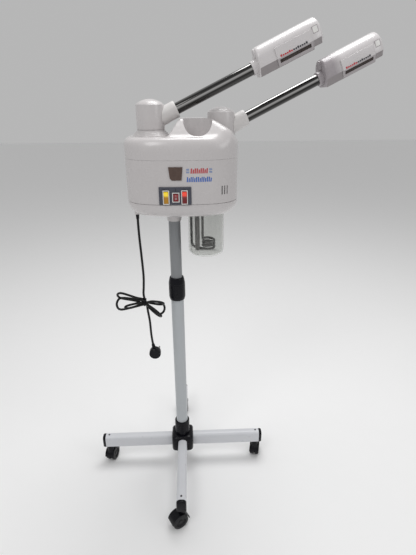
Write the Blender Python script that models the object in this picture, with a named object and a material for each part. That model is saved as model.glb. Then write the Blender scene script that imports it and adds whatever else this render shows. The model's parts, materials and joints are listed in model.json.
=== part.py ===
"""Two-arm hot and cold facial steamer on a telescopic post with a four-caster cross base.

Units are metres, +Z is up, the operator faces the control panel on the -Y side.
Shapes are laid out around the post's axis (x = y = 0, floor at z = 0).  One empty, "frame",
then moves everything so that the middle of the bounding box's bottom lies on the origin.
"""
import math

import bmesh
import bpy
from mathutils import Matrix, Vector

# ---- clearances and general walls ----
GAP = 0.0003                    # between pieces that touch
WALL = 0.0025                   # moulded housing wall
SEGMENTS = 22                   # round pieces
SMALL_SEGMENTS = 12             # small round pieces

# ---- stand ----
POST_LOW_RADIUS = 0.016
POST_LOW_WALL = 0.0015
POST_LOW_TOP = 0.5755
POST_HIGH_RADIUS = 0.014
POST_HIGH_WALL = 0.0015
POST_HIGH_LENGTH = 0.520
COLLAR_BOTTOM = 0.535
COLLAR_TOP = 0.595
COLLAR_NUT_HEIGHT = 0.018
COLLAR_RADIUS = 0.0205
COLLAR_MOUTH_RADIUS = 0.0172
COLLAR_THREAD_RADIUS = 0.0170
COLLAR_THREAD_HEIGHT = 0.010
HUB_HALF_WIDTH = 0.0305
HUB_BOTTOM = 0.044
HUB_BLOCK_TOP = 0.101
HUB_SLEEVE_RADIUS = 0.0205
HUB_SLEEVE_TOP = 0.146
HUB_FLOOR = 0.006
LEG_WIDTH = 0.025
LEG_HEIGHT = 0.035
LEG_TOP = 0.0950
LEG_WALL = 0.002
LEG_FILLET = 0.010
LEG_END = 0.2255
LEG_TONGUE = 0.012
LEG_CAP_THICKNESS = 0.008
LEG_CAP_SPIGOT = 0.0035
CASTER_RADIUS_OUT = 0.2157      # stem axis from the post
CASTER_WHEEL_RADIUS = 0.0205
CASTER_WHEEL_WIDTH = 0.0095
CASTER_WEB = 0.005
CASTER_TRAIL = 0.009
CASTER_AXLE_RADIUS = 0.003
CASTER_HOOD_GAP = 0.0015
CASTER_HOOD_WALL = 0.0025
CASTER_STEM_RADIUS = 0.0055
CASTER_NECK_RADIUS = 0.0100

# ---- housing ----
BODY_X = 0.022                  # middle of the housing, from the post
BODY_HALF_WIDTH = 0.1225
BODY_HALF_DEPTH = 0.100
BODY_SQUARENESS = 3.0           # power of the superellipse outline
BODY_BOTTOM = 0.765
BODY_BOTTOM_FILLET = 0.030
SEAM_LOW = 0.7965
SEAM_HIGH = 0.8860
SHELF_Z = 0.9280
SHELF_FILLET = 0.014
OUTLINE_POINTS = 36
DOME_Z = 0.9630                 # flat top of the dome
DOME_TOP_X = (0.0196, 0.0878)
DOME_TOP_Y = (-0.0500, 0.0600)
DOME_LEFT_FOOT = -0.0050        # where the left flank meets the shelf
DOME_FOOT_Y = (-0.0850, 0.0920)
DOME_KNEE = (0.1340, 0.9350)    # x, z where the right slope turns steeper
DOME_EDGE = (0.1445, 0.9100)
TERRACE_X = 0.0765              # level place behind the right flank, for the right turret
TERRACE_Y = -0.0220
WELL_X = 0.0573
WELL_Y = -0.050
WELL_RADIUS = 0.0300
WELL_DEPTH = 0.042
SOCKET_RADIUS = 0.0185
SOCKET_BOTTOM = 0.739
SOCKET_TOP = 0.790
SOCKET_FLANGE_RADIUS = 0.0260
SOCKET_FLANGE = 0.003

# ---- front of the housing ----
PANEL_X = (-0.0255, 0.0415)
PANEL_Z = (0.7975, 0.8340)
PANEL_THICKNESS = 0.0015
WINDOW_X = (-0.0043, 0.0246)
WINDOW_Z = (0.8470, 0.8736)
SWITCH_Z = 0.8130
SWITCH_X = (-0.0105, 0.0094, 0.0273)
SWITCH_WIDTH = (0.0135, 0.0150, 0.0135)
SWITCH_HEIGHT = (0.0290, 0.0200, 0.0290)
SWITCH_NAMES = ("mist", "power", "steam")
ROCKER_TILT = math.radians(7.0)
SWITCH_FLANGE = 0.0020
SWITCH_RIM = 0.0016
SWITCH_DEPTH = 0.0200
ROCKER_DEPTH = 0.0090
VENT_X = 0.1115
VENT_Z = 0.8240
VENT_COUNT = 3
VENT_PITCH = 0.0055
VENT_SLOT = (0.0028, 0.0185)    # width, height

# ---- jar and heater under the right side ----
JAR_X = 0.0745
JAR_RADIUS = 0.0422
JAR_BOTTOM = 0.658
JAR_TOP = 0.7800
JAR_WALL = 0.0026
JAR_CORNER = 0.010
JAR_LIP = 0.0010                # bead at the jar's mouth
JAR_RING_WALL = 0.0038
JAR_RING_HEIGHT = 0.0140
JAR_RING_LIFT = 0.0030          # above the tray's floor
HEATER_PLATE_THICKNESS = 0.0060
COIL_TURNS = 3
COIL_STEPS = 9                  # points a turn
COIL_X = 0.0800
COIL_RADIUS = 0.0140
COIL_ROD_RADIUS = 0.0030
COIL_LOW = 0.6705
COIL_PITCH = 0.0078
COIL_LEG_GAP = 0.0016           # from the outer leg to the jar's wall
COIL_LEG_X = (round(JAR_X - JAR_RADIUS + JAR_WALL + COIL_LEG_GAP + COIL_ROD_RADIUS, 6), 0.0660)
COIL_LEG_BEND = 0.0150
LEVEL_TUBE_X = 0.0535
LEVEL_TUBE_Y = -0.0110
LEVEL_TUBE_RADIUS = 0.0055
LEVEL_TUBE_WALL = 0.0012
LEVEL_TUBE_BOTTOM = 0.6687

# ---- inside the housing ----
BASIN_X = -0.044
BASIN_RADIUS = 0.0400
BASIN_BOTTOM = 0.8300
BASIN_HEIGHT = 0.0500
TRANSDUCER_RADIUS = 0.0120
TRANSDUCER_HEIGHT = 0.0080
FAN_SIZE = 0.0500
FAN_THICKNESS = 0.0150
FAN_HUB_RADIUS = 0.0100
FAN_BLADES = 5
FAN_BLADE = 0.0012
FAN_CHORD = 0.0090
FAN_X = -0.040
FAN_Y = 0.0700
FAN_Z = 0.8350
BOARD_SIZE = (0.0700, 0.0016, 0.0400)
BOARD_AT = (0.0085, -0.0640, 0.8500)
DUCT_RADIUS = 0.0140
DUCT_WALL = 0.0015
DUCT_FOOT_Y = 0.0200

# ---- arms ----
ARM_ELEVATION = math.radians(25.2)
TURRET_RADIUS = 0.0300
TURRET_CROWN = 0.010
TURRET_CROWN_EDGE = 0.0015
TURRET_SKIRT_RADIUS = 0.0230
TURRET_BELOW = 0.012            # skirt below the cover's surface
ARMS = {
    # axis x, axis y, height of the arm's axis on the turret, rim height, seat height, azimuth
    "left": (-0.0430, 0.0000, 0.9548, 0.9913, 0.9400, math.radians(3.7)),
    "right": (0.1100, 0.0200, 0.9360, 0.9752, 0.9286, math.radians(8.8)),
}
RIGHT_SEAT_HEIGHT = 0.0130
PEDESTAL_RADIUS = 0.0375
SLEEVE_RADIUS = 0.0185
SLEEVE_END = 0.0630
TUBE_RADIUS = 0.0120
TUBE_WALL = 0.0012
TUBE_START = 0.0210
HEAD_START = 0.2485
HEAD_LENGTH = 0.1455
HEAD_RADIUS = 0.0260
HEAD_ARCH_Z = 0.0090
HEAD_SIDE_LOW = -0.0050
HEAD_KEEL_Z = -0.0220
HEAD_KEEL_HALF = 0.0180
HEAD_SLANT = math.atan2(HEAD_SIDE_LOW - HEAD_KEEL_Z, HEAD_RADIUS - HEAD_KEEL_HALF)
HEAD_WALL = 0.0022
HEAD_RAKE = 0.15                # lean of the near end, run per rise
HEAD_TUBE_IN = 0.0180
HEAD_COLLAR_RADIUS = 0.0150
HEAD_COLLAR_LENGTH = 0.0180
NOZZLE_START = 0.0420
NOZZLE_END = 0.1200
NOZZLE_TOP = 0.0160
NOZZLE_THICKNESS = 0.0022
NOZZLE_BORDER = 0.0040
NOZZLE_SHORT = 0.0022            # how far the plate stops short of the keel
AROMA_RADIUS = 0.0105
AROMA_RISE = 0.0235
AROMA_THICKNESS = 0.0025

# ---- mains cord ----
CORD_RADIUS = 0.0028
CORD_Y = -0.028
GLAND_X = -0.0830
GLAND_Y = -0.0200
GLAND_RADIUS = 0.0062
GLAND_BOTTOM = 0.7480
GLAND_TOP = 0.7850
BUNDLE_AT = (-0.0910, CORD_Y, 0.5310)
BUNDLE_HALF_LENGTH = 0.0560
BUNDLE_HALF_HEIGHT = 0.0200
BUNDLE_THICKNESS = 0.0220
BUNDLE_TILT = math.radians(17.0)
PLUG_AT = (-0.0665, CORD_Y, 0.4190)
PLUG_TILT = math.radians(9.0)
PLUG_DISC_RADIUS = 0.0150
PLUG_DISC_HALF = 0.0085
PLUG_DROP = 0.0270              # from the cord's end to the middle of the disc
PIN_RADIUS = 0.0024
PIN_LENGTH = 0.0190
PIN_SPACING = 0.0190


# ------------------------------------------------------------------ tools
def clear_scene():
    for item in list(bpy.data.objects):
        bpy.data.objects.remove(item, do_unlink=True)


def material(name, colour, roughness, metallic=0.0):
    mat = bpy.data.materials.new(name)
    mat.use_nodes = True
    shader = mat.node_tree.nodes["Principled BSDF"]
    shader.inputs["Base Color"].default_value = (*colour, 1.0)
    shader.inputs["Roughness"].default_value = roughness
    shader.inputs["Metallic"].default_value = metallic
    mat.diffuse_color = (*colour, 1.0)
    return mat


def empty(name, parent=None, location=(0, 0, 0), rotation=(0, 0, 0)):
    item = bpy.data.objects.new(name, None)
    bpy.context.collection.objects.link(item)
    item.parent = parent
    item.location = location
    item.rotation_euler = rotation
    return item


def place(name, mesh, mat, parent, location=(0, 0, 0), rotation=(0, 0, 0)):
    """Puts a mesh into the scene as one named piece."""
    if not mesh.materials:
        mesh.materials.append(mat)
    mesh.name = name
    item = bpy.data.objects.new(name, mesh)
    bpy.context.collection.objects.link(item)
    item.parent = parent
    item.location = location
    item.rotation_euler = rotation
    return item


def finished(bm, smooth=True):
    """Turns a closed bmesh into a mesh with its faces pointing out."""
    bmesh.ops.remove_doubles(bm, verts=bm.verts, dist=1e-6)
    bmesh.ops.recalc_face_normals(bm, faces=bm.faces)
    mesh = bpy.data.meshes.new("piece")
    bm.to_mesh(mesh)
    bm.free()
    if smooth:
        mesh.shade_smooth()
        mesh.set_sharp_from_angle(angle=math.radians(35))
    return mesh


def moved(mesh, location=(0, 0, 0), rotation=(0, 0, 0)):
    turn = Matrix.LocRotScale(Vector(location), None, None)
    spin = Matrix.Rotation(rotation[2], 4, "Z") @ Matrix.Rotation(rotation[1], 4, "Y")
    mesh.transform(turn @ spin @ Matrix.Rotation(rotation[0], 4, "X"))
    return mesh


def carved(mesh, tools, operation="DIFFERENCE"):
    """The mesh after cutting away, joining or intersecting each of the tool meshes in turn."""
    base = bpy.data.objects.new("base", mesh)
    bpy.context.collection.objects.link(base)
    cutters = []
    for tool in tools:
        cutter = bpy.data.objects.new("cutter", tool)
        bpy.context.collection.objects.link(cutter)
        cutter.hide_render = True
        cutter.display_type = "WIRE"
        step = base.modifiers.new("step", "BOOLEAN")
        step.operation = operation
        step.solver = "EXACT"
        step.object = cutter
        cutters.append(cutter)
    bpy.context.view_layer.update()
    graph = bpy.context.evaluated_depsgraph_get()
    result = bpy.data.meshes.new_from_object(base.evaluated_get(graph))
    for item in cutters + [base]:
        bpy.data.objects.remove(item, do_unlink=True)
    bm = bmesh.new()
    bm.from_mesh(result)
    bmesh.ops.dissolve_degenerate(bm, edges=bm.edges, dist=1e-6)
    bm.to_mesh(result)
    bm.free()
    result.materials.clear()
    result.shade_smooth()
    result.set_sharp_from_angle(angle=math.radians(35))
    return result


def lofted(rings, cyclic=False):
    """A closed body through rings of equal point counts; open ends get flat caps."""
    bm = bmesh.new()
    loops = [[bm.verts.new(point) for point in ring] for ring in rings]
    pairs = list(zip(loops, loops[1:]))
    if cyclic:
        pairs.append((loops[-1], loops[0]))
    for low, high in pairs:
        for i in range(len(low)):
            j = (i + 1) % len(low)
            bm.faces.new((low[i], low[j], high[j], high[i]))
    if not cyclic:
        bm.faces.new(loops[0])
        bm.faces.new(loops[-1])
    return finished(bm)


def turned(profile, segments=SEGMENTS):
    """Turns (radius, z) points around Z and closes the end on the start, off the axis or along it."""
    bm = bmesh.new()
    rings = []
    for radius, height in profile:
        if radius == 0:
            rings.append([bm.verts.new((0, 0, height))])
            continue
        ring = []
        for i in range(segments):
            angle = 2 * math.pi * i / segments
            ring.append(bm.verts.new((radius * math.cos(angle), radius * math.sin(angle), height)))
        rings.append(ring)
    for low, high in zip(rings, rings[1:] + rings[:1]):
        if len(low) == 1 and len(high) == 1:
            continue
        for i in range(segments):
            j = (i + 1) % segments
            corners = [low[i % len(low)], low[j % len(low)], high[j % len(high)], high[i % len(high)]]
            bm.faces.new(list(dict.fromkeys(corners)))
    return finished(bm)


def tube(outer, inner, low, high, segments=SEGMENTS):
    return turned([(outer, low), (outer, high), (inner, high), (inner, low)], segments)


def rod(radius, low, high, segments=SEGMENTS):
    return turned([(0, low), (radius, low), (radius, high), (0, high)], segments)


def block(low, high):
    """A box between two corners."""
    bm = bmesh.new()
    bmesh.ops.create_cube(bm, size=1.0)
    size = [b - a for a, b in zip(low, high)]
    middle = [(a + b) / 2 for a, b in zip(low, high)]
    bmesh.ops.scale(bm, vec=size, verts=bm.verts)
    bmesh.ops.translate(bm, vec=middle, verts=bm.verts)
    return finished(bm, smooth=False)


def extruded(outline, low, high, axis="Z"):
    """A flat outline pulled along an axis: (x, y) along Z, (x, z) along Y, (y, z) along X."""
    def point(pair, depth):
        if axis == "Z":
            return (pair[0], pair[1], depth)
        if axis == "Y":
            return (pair[0], depth, pair[1])
        return (depth, pair[0], pair[1])
    return lofted([[point(p, low) for p in outline], [point(p, high) for p in outline]])


def arc(centre, radius, start, end, steps):
    """Points on an arc in degrees, both ends included."""
    points = []
    for i in range(steps + 1):
        angle = math.radians(start + (end - start) * i / steps)
        points.append((centre[0] + radius * math.cos(angle), centre[1] + radius * math.sin(angle)))
    return points


# ------------------------------------------------------------------ housing outline
def inset_at(z):
    """How far the tray's rounded bottom edge stands inside the full outline at a height."""
    above = z - BODY_BOTTOM
    if above >= BODY_BOTTOM_FILLET:
        return 0.0
    drop = BODY_BOTTOM_FILLET - above
    return BODY_BOTTOM_FILLET - math.sqrt(max(BODY_BOTTOM_FILLET ** 2 - drop ** 2, 0.0))


def body_ring(z, inset=0.0):
    """The superellipse outline of the housing, pulled in by an inset."""
    half_x = BODY_HALF_WIDTH - inset
    half_y = BODY_HALF_DEPTH - inset
    ring = []
    for i in range(OUTLINE_POINTS):
        angle = 2 * math.pi * i / OUTLINE_POINTS
        c, s = math.cos(angle), math.sin(angle)
        x = math.copysign(abs(c) ** (2 / BODY_SQUARENESS), c)
        y = math.copysign(abs(s) ** (2 / BODY_SQUARENESS), s)
        ring.append((BODY_X + half_x * x, half_y * y, z))
    return ring


def front_y(x, outset=0.0):
    """Y of the housing's front at x, moved out by an outset."""
    share = min(abs((x - BODY_X) / (BODY_HALF_WIDTH + outset)), 1.0)
    depth = BODY_HALF_DEPTH + outset
    return -depth * (1 - share ** BODY_SQUARENESS) ** (1 / BODY_SQUARENESS)


def front_turn(x):
    """Angle about Z of the housing's front at x."""
    step = 0.001
    return math.atan2(front_y(x + step) - front_y(x - step), 2 * step)


def slab_volume(inset=0.0, low=SEAM_HIGH + GAP / 2):
    """The cover without its dome: the outline with a rounded upper edge, solid."""
    fillet = SHELF_FILLET
    rings = [body_ring(low, inset)]
    for x, z in arc((0.0, SHELF_Z - fillet), fillet, 0, 90, 5):
        rings.append(body_ring(z - inset, inset + fillet - x))
    return lofted(rings)


def cut_off(bm, point, normal):
    """Cuts away what lies outside a plane and closes the cut."""
    geometry = bm.verts[:] + bm.edges[:] + bm.faces[:]
    cut = bmesh.ops.bisect_plane(bm, geom=geometry, plane_co=point, plane_no=normal,
                                 clear_outer=True)
    edges = [item for item in cut["geom_cut"] if isinstance(item, bmesh.types.BMEdge)]
    if edges:
        bmesh.ops.edgenet_fill(bm, edges=edges)


def dome_volume(inset=0.0):
    """The block that rises from the shelf: flat top, four sloping sides and a lower right flank."""
    bm = bmesh.new()
    inside = inset + 0.0008
    column = lofted([body_ring(SHELF_Z - 0.020, inside), body_ring(DOME_Z + 0.020, inside)])
    bm.from_mesh(column)
    foot_x, top_x0, top_x1 = DOME_LEFT_FOOT, DOME_TOP_X[0], DOME_TOP_X[1]
    knee_x, knee_z = DOME_KNEE
    sides = [((0, 0, DOME_Z), (0, 0, 1)),
             ((top_x0, 0, DOME_Z), (SHELF_Z - DOME_Z, 0, top_x0 - foot_x)),
             ((knee_x, 0, knee_z), (DOME_Z - knee_z, 0, knee_x - top_x1)),
             ((knee_x, 0, knee_z), (knee_z - DOME_EDGE[1], 0, DOME_EDGE[0] - knee_x)),
             ((0, DOME_TOP_Y[0], DOME_Z), (0, SHELF_Z - DOME_Z, DOME_TOP_Y[0] - DOME_FOOT_Y[0])),
             ((0, DOME_TOP_Y[1], DOME_Z), (0, DOME_Z - SHELF_Z, DOME_FOOT_Y[1] - DOME_TOP_Y[1]))]
    for point, normal in sides:
        normal = Vector(normal).normalized()
        cut_off(bm, Vector(point) - normal * inset, normal)
    dome = finished(bm, smooth=False)
    terrace = block((TERRACE_X - inset, TERRACE_Y - inset, SHELF_Z - inset - 0.0005),
                    (BODY_X + BODY_HALF_WIDTH + 0.01, BODY_HALF_DEPTH + 0.01, DOME_Z + 0.01))
    return carved(dome, [terrace])


# ------------------------------------------------------------------ stand
def leg_section(inset=0.0):
    """(y, z) outline of a leg: flat bottom, rounded top edges."""
    half = LEG_WIDTH / 2 - inset
    top = LEG_TOP - inset
    low = LEG_TOP - LEG_HEIGHT + inset
    radius = LEG_FILLET - inset
    return ([(-half, low), (half, low)]
            + arc((half - radius, top - radius), radius, 0, 90, 3)
            + arc((-half + radius, top - radius), radius, 90, 180, 3))


def leg_mesh():
    """A hollow leg along +X with a hole for the caster's stem in its floor."""
    def ring(x, inset):
        return [(x, y, z) for y, z in leg_section(inset)]
    start = HUB_HALF_WIDTH + GAP
    shell = lofted([ring(start, 0), ring(LEG_END, 0), ring(LEG_END, LEG_WALL), ring(start, LEG_WALL)],
                   cyclic=True)
    floor = LEG_TOP - LEG_HEIGHT
    hole = rod(CASTER_STEM_RADIUS + GAP, floor - LEG_WALL, floor + 2 * LEG_WALL, SMALL_SEGMENTS)
    return carved(shell, [moved(hole, (CASTER_RADIUS_OUT, 0, 0))])


def leg_cap_mesh():
    def ring(x, inset):
        return [(x, y, z) for y, z in leg_section(inset)]
    face = LEG_END + GAP
    inside = LEG_WALL + GAP
    return lofted([ring(face - LEG_CAP_SPIGOT, inside), ring(face, inside), ring(face, 0),
                   ring(face + LEG_CAP_THICKNESS - 0.003, 0), ring(face + LEG_CAP_THICKNESS, 0.002)])


def hub_mesh():
    """Square block with four tongues for the legs and a round sleeve for the post."""
    def ring(half, corner, z):
        points = []
        for k in range(4):
            turn = math.pi / 2 * k
            for a, b in ((half, half - corner), (half - corner, half)):
                points.append((a * math.cos(turn) - b * math.sin(turn),
                               a * math.sin(turn) + b * math.cos(turn), z))
        return points
    half = HUB_HALF_WIDTH
    shell = lofted([ring(half * 0.62, half * 0.25, HUB_BOTTOM),
                    ring(half, half * 0.36, HUB_BOTTOM + 0.012),
                    ring(half, half * 0.36, HUB_BLOCK_TOP - 0.006),
                    ring(half * 0.80, half * 0.34, HUB_BLOCK_TOP)])
    sleeve = rod(HUB_SLEEVE_RADIUS, HUB_BLOCK_TOP - 0.01, HUB_SLEEVE_TOP)
    bars = []
    for k in range(4):
        bar = extruded(leg_section(LEG_WALL + GAP), half * 0.7, half + LEG_TONGUE, axis="X")
        bars.append(moved(bar, rotation=(0, 0, math.pi / 2 * k)))
    joined = carved(shell, [sleeve] + bars, "UNION")
    bore = rod(POST_LOW_RADIUS + GAP, HUB_BOTTOM + HUB_FLOOR, HUB_SLEEVE_TOP + 0.01)
    return carved(joined, [bore])


def caster_hood_mesh():
    """Web between the wheels, hood over them, and the stem; its stem axis is the local Z axis."""
    axle = (CASTER_TRAIL, CASTER_WHEEL_RADIUS)
    inner = CASTER_WHEEL_RADIUS + CASTER_HOOD_GAP
    outer = inner + CASTER_HOOD_WALL
    half = CASTER_WEB / 2 + CASTER_HOOD_GAP + CASTER_WHEEL_WIDTH
    boss = arc(axle, CASTER_AXLE_RADIUS + 0.004, 215, 325, 4)
    web = extruded(arc(axle, inner + 0.001, 10, 175, 7) + boss, -CASTER_WEB / 2, CASTER_WEB / 2, "Y")
    hood = extruded(arc(axle, outer, 10, 175, 9) + arc(axle, inner, 175, 10, 9), -half, half, "Y")
    floor = LEG_TOP - LEG_HEIGHT
    neck = rod(CASTER_NECK_RADIUS, axle[1] + inner - 0.006, floor - GAP, SMALL_SEGMENTS)
    stem = rod(CASTER_STEM_RADIUS, floor - 0.005, floor + 0.018, SMALL_SEGMENTS)
    body = carved(web, [hood, neck, stem], "UNION")
    hole = rod(CASTER_AXLE_RADIUS + GAP, -CASTER_WEB, CASTER_WEB, SMALL_SEGMENTS)
    hole = moved(hole, (axle[0], 0, axle[1]), (math.pi / 2, 0, 0))
    wheel_space = []
    for low in (CASTER_WEB / 2, -half - 0.001):
        space = rod(inner, low, low + half + 0.001 - CASTER_WEB / 2)
        wheel_space.append(moved(space, (axle[0], 0, axle[1]), (math.pi / 2, 0, 0)))
    return carved(body, [hole] + wheel_space)


def caster_wheels_mesh():
    """Two wheels on one axle, turned around local Z and laid along Y by its empty."""
    near = CASTER_WEB / 2 + CASTER_HOOD_GAP / 2
    far = near + CASTER_WHEEL_WIDTH
    edge = 0.0015
    r = CASTER_WHEEL_RADIUS
    profile = [(0, -far), (r - edge, -far), (r, -far + edge), (r, -near - edge), (r - edge, -near),
               (CASTER_AXLE_RADIUS, -near), (CASTER_AXLE_RADIUS, near), (r - edge, near),
               (r, near + edge), (r, far - edge), (r - edge, far), (0, far)]
    return turned(profile, SEGMENTS - 4)


def build_stand(frame, mats):
    place("base_hub", hub_mesh(), mats["black"], frame)
    leg, cap, hood, wheels = leg_mesh(), leg_cap_mesh(), caster_hood_mesh(), caster_wheels_mesh()
    trails = {"right": 75.0, "rear": 270.0, "left": 75.0, "front": 210.0}
    for k, side in enumerate(("right", "rear", "left", "front")):
        turn = math.pi / 2 * k
        place("leg_" + side, leg, mats["leg"], frame, rotation=(0, 0, turn))
        place("leg_cap_" + side, cap, mats["black"], frame, rotation=(0, 0, turn))
        stem = (CASTER_RADIUS_OUT * math.cos(turn), CASTER_RADIUS_OUT * math.sin(turn), 0)
        swivel = empty("axis_caster_" + side, frame, stem, (0, 0, math.radians(trails[side])))
        place("caster_hood_" + side, hood, mats["black"], swivel)
        axle = empty("axis_wheels_" + side, swivel, (CASTER_TRAIL, 0, CASTER_WHEEL_RADIUS),
                     (math.pi / 2, 0, 0))
        place("caster_wheels_" + side, wheels, mats["rubber"], axle)
    low = HUB_BOTTOM + HUB_FLOOR + GAP
    inner = POST_LOW_RADIUS - POST_LOW_WALL
    place("lower_post", tube(POST_LOW_RADIUS, inner, low, POST_LOW_TOP), mats["post"], frame)
    build_collar(frame, mats)


def build_collar(frame, mats):
    """Clamp body on the lower tube and the nut that closes it on the upper tube."""
    nut_low = COLLAR_TOP - COLLAR_NUT_HEIGHT
    thread_top = nut_low + COLLAR_THREAD_HEIGHT
    thread = COLLAR_THREAD_RADIUS
    low_bore = POST_LOW_RADIUS + GAP
    high_bore = POST_HIGH_RADIUS + GAP
    step = POST_LOW_TOP + GAP
    body = [(COLLAR_RADIUS - 0.002, COLLAR_BOTTOM), (COLLAR_RADIUS, COLLAR_BOTTOM + 0.006),
            (COLLAR_RADIUS, nut_low - GAP), (thread, nut_low - GAP), (thread, thread_top),
            (high_bore, thread_top), (high_bore, step), (low_bore, step), (low_bore, COLLAR_BOTTOM)]
    place("collar_body", turned(body), mats["black"], frame)
    nut = [(COLLAR_RADIUS, nut_low), (COLLAR_MOUTH_RADIUS, COLLAR_TOP), (high_bore, COLLAR_TOP),
           (high_bore, thread_top + GAP), (thread + GAP, thread_top + GAP), (thread + GAP, nut_low)]
    pivot = empty("axis_collar_nut", frame)
    place("collar_nut", turned(nut), mats["black"], pivot)


# ------------------------------------------------------------------ housing shells
def top_cover_mesh():
    """Hollow cover with the bottle well, the stepped left pedestal and the right turret's seat."""
    left_x, left_y, _, _, left_seat, _ = ARMS["left"]
    right_x, right_y, _, _, right_seat, _ = ARMS["right"]
    foot = PEDESTAL_RADIUS
    step = TURRET_RADIUS + 0.0040
    pedestal = [(0, SHELF_Z - WALL / 2), (foot + 0.002, SHELF_Z - WALL / 2), (foot, SHELF_Z + 0.003),
                (step + 0.0012, SHELF_Z + 0.0055), (step, left_seat - 0.004),
                (TURRET_RADIUS + 0.0008, left_seat - 0.0035), (TURRET_RADIUS, left_seat), (0, left_seat)]
    seat = rod(TURRET_RADIUS + 0.0020, right_seat - RIGHT_SEAT_HEIGHT, right_seat)
    outer = carved(slab_volume(), [dome_volume(), moved(turned(pedestal), (left_x, left_y, 0)),
                                   moved(seat, (right_x, right_y, 0))], "UNION")
    inner = slab_volume(WALL, SEAM_HIGH - 0.010)
    room = rod(TURRET_RADIUS - 0.0010, SHELF_Z - 0.010, left_seat - WALL)
    inner = carved(inner, [dome_volume(WALL), moved(room, (left_x, left_y, 0))], "UNION")
    well_floor = DOME_Z - WELL_DEPTH
    cup = moved(rod(WELL_RADIUS + WALL, well_floor - WALL, DOME_Z + 0.01), (WELL_X, WELL_Y, 0))
    boss = rod(TURRET_RADIUS + 0.0025, right_seat - RIGHT_SEAT_HEIGHT - 0.0005, right_seat + 0.01)
    inner = carved(inner, [cup, moved(boss, (right_x, right_y, 0))])
    cutters = [inner, moved(rod(WELL_RADIUS, well_floor, DOME_Z + 0.02), (WELL_X, WELL_Y, 0))]
    for x, y, _, _, height, _ in ARMS.values():
        skirt_way = rod(TURRET_SKIRT_RADIUS + 2 * GAP, height - 0.05, height + 0.05)
        cutters.append(moved(skirt_way, (x, y, 0)))
    return carved(outer, cutters)


def middle_shell_mesh():
    low = SEAM_LOW + GAP / 2
    high = SEAM_HIGH - GAP / 2
    shell = lofted([body_ring(low), body_ring(high), body_ring(high, WALL), body_ring(low, WALL)],
                   cyclic=True)
    cutters = [switch_space(i) for i in range(3)]
    cutters.append(block((WINDOW_X[0] + 0.003, -BODY_HALF_DEPTH - 0.01, WINDOW_Z[0] + 0.003),
                         (WINDOW_X[1] - 0.003, -BODY_HALF_DEPTH + 0.02, WINDOW_Z[1] - 0.003)))
    width, height = VENT_SLOT
    for i in range(VENT_COUNT):
        x = VENT_X + (i - (VENT_COUNT - 1) / 2) * VENT_PITCH
        y = front_y(x)
        cutters.append(block((x - width / 2, y - 0.008, VENT_Z - height / 2),
                             (x + width / 2, y + 0.010, VENT_Z + height / 2)))
    return carved(shell, cutters)


def switch_space(index, margin=GAP):
    """The volume that a switch body needs through the shell and the panel."""
    half_x = SWITCH_WIDTH[index] / 2 - SWITCH_RIM / 2 + margin
    half_z = SWITCH_HEIGHT[index] / 2 - SWITCH_RIM / 2 + margin
    box = block((-half_x, -0.012, -half_z), (half_x, SWITCH_DEPTH + 0.01, half_z))
    x = SWITCH_X[index]
    return moved(box, (x, front_y(x), SWITCH_Z), (0, 0, front_turn(x)))


def bottom_tray_mesh():
    def profile(levels, inset, lift, high):
        rings = []
        for share in levels:
            z = BODY_BOTTOM + share * BODY_BOTTOM_FILLET
            rings.append(body_ring(z + lift * (1 - share), inset_at(z) + inset))
        rings.append(body_ring(high, inset))
        return rings
    high = SEAM_LOW - GAP / 2
    outer = profile((0.0, 0.07, 0.22, 0.45, 1.0), 0.0, 0.0, high)
    inner = profile((0.0, 0.20, 0.50, 1.0), WALL, WALL, high)
    shell = lofted(outer + inner[::-1])
    post = rod(SOCKET_RADIUS + GAP, BODY_BOTTOM - 0.01, BODY_BOTTOM + 0.02)
    jar = rod(JAR_RADIUS + JAR_LIP + 2 * GAP, BODY_BOTTOM - 0.01, BODY_BOTTOM + 0.02)
    jar = moved(jar, (JAR_X, 0, 0))
    gland = moved(rod(GLAND_RADIUS + GAP, BODY_BOTTOM - 0.02, BODY_BOTTOM + 0.06, SMALL_SEGMENTS),
                  (GLAND_X, GLAND_Y, 0))
    return carved(shell, [post, jar, gland])


def front_plate(x_range, z_range, low, high, taper=0.0, chamfer=0.0, columns=10):
    """A plate bent to the housing's front, from one distance off it to another."""
    x0, x1 = x_range
    z0, z1 = z_range
    grid = []
    for i in range(columns + 1):
        share = i / columns
        bottom_x = x0 + taper + (x1 - x0 - 2 * taper) * share
        top_x = x0 + (x1 - x0) * share
        lift = max(chamfer - (bottom_x - x0 - taper), 0.0)
        grid.append((bottom_x, top_x, z0 + lift))
    bm = bmesh.new()
    columns_made = []
    for bottom_x, top_x, bottom_z in grid:
        corner = [bm.verts.new((bottom_x, front_y(bottom_x, low), bottom_z)),
                  bm.verts.new((top_x, front_y(top_x, low), z1)),
                  bm.verts.new((top_x, front_y(top_x, high), z1)),
                  bm.verts.new((bottom_x, front_y(bottom_x, high), bottom_z))]
        columns_made.append(corner)
    for a, b in zip(columns_made, columns_made[1:]):
        for k in range(4):
            m = (k + 1) % 4
            bm.faces.new((a[k], a[m], b[m], b[k]))
    bm.faces.new(columns_made[0])
    bm.faces.new(columns_made[-1])
    return finished(bm)


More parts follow.
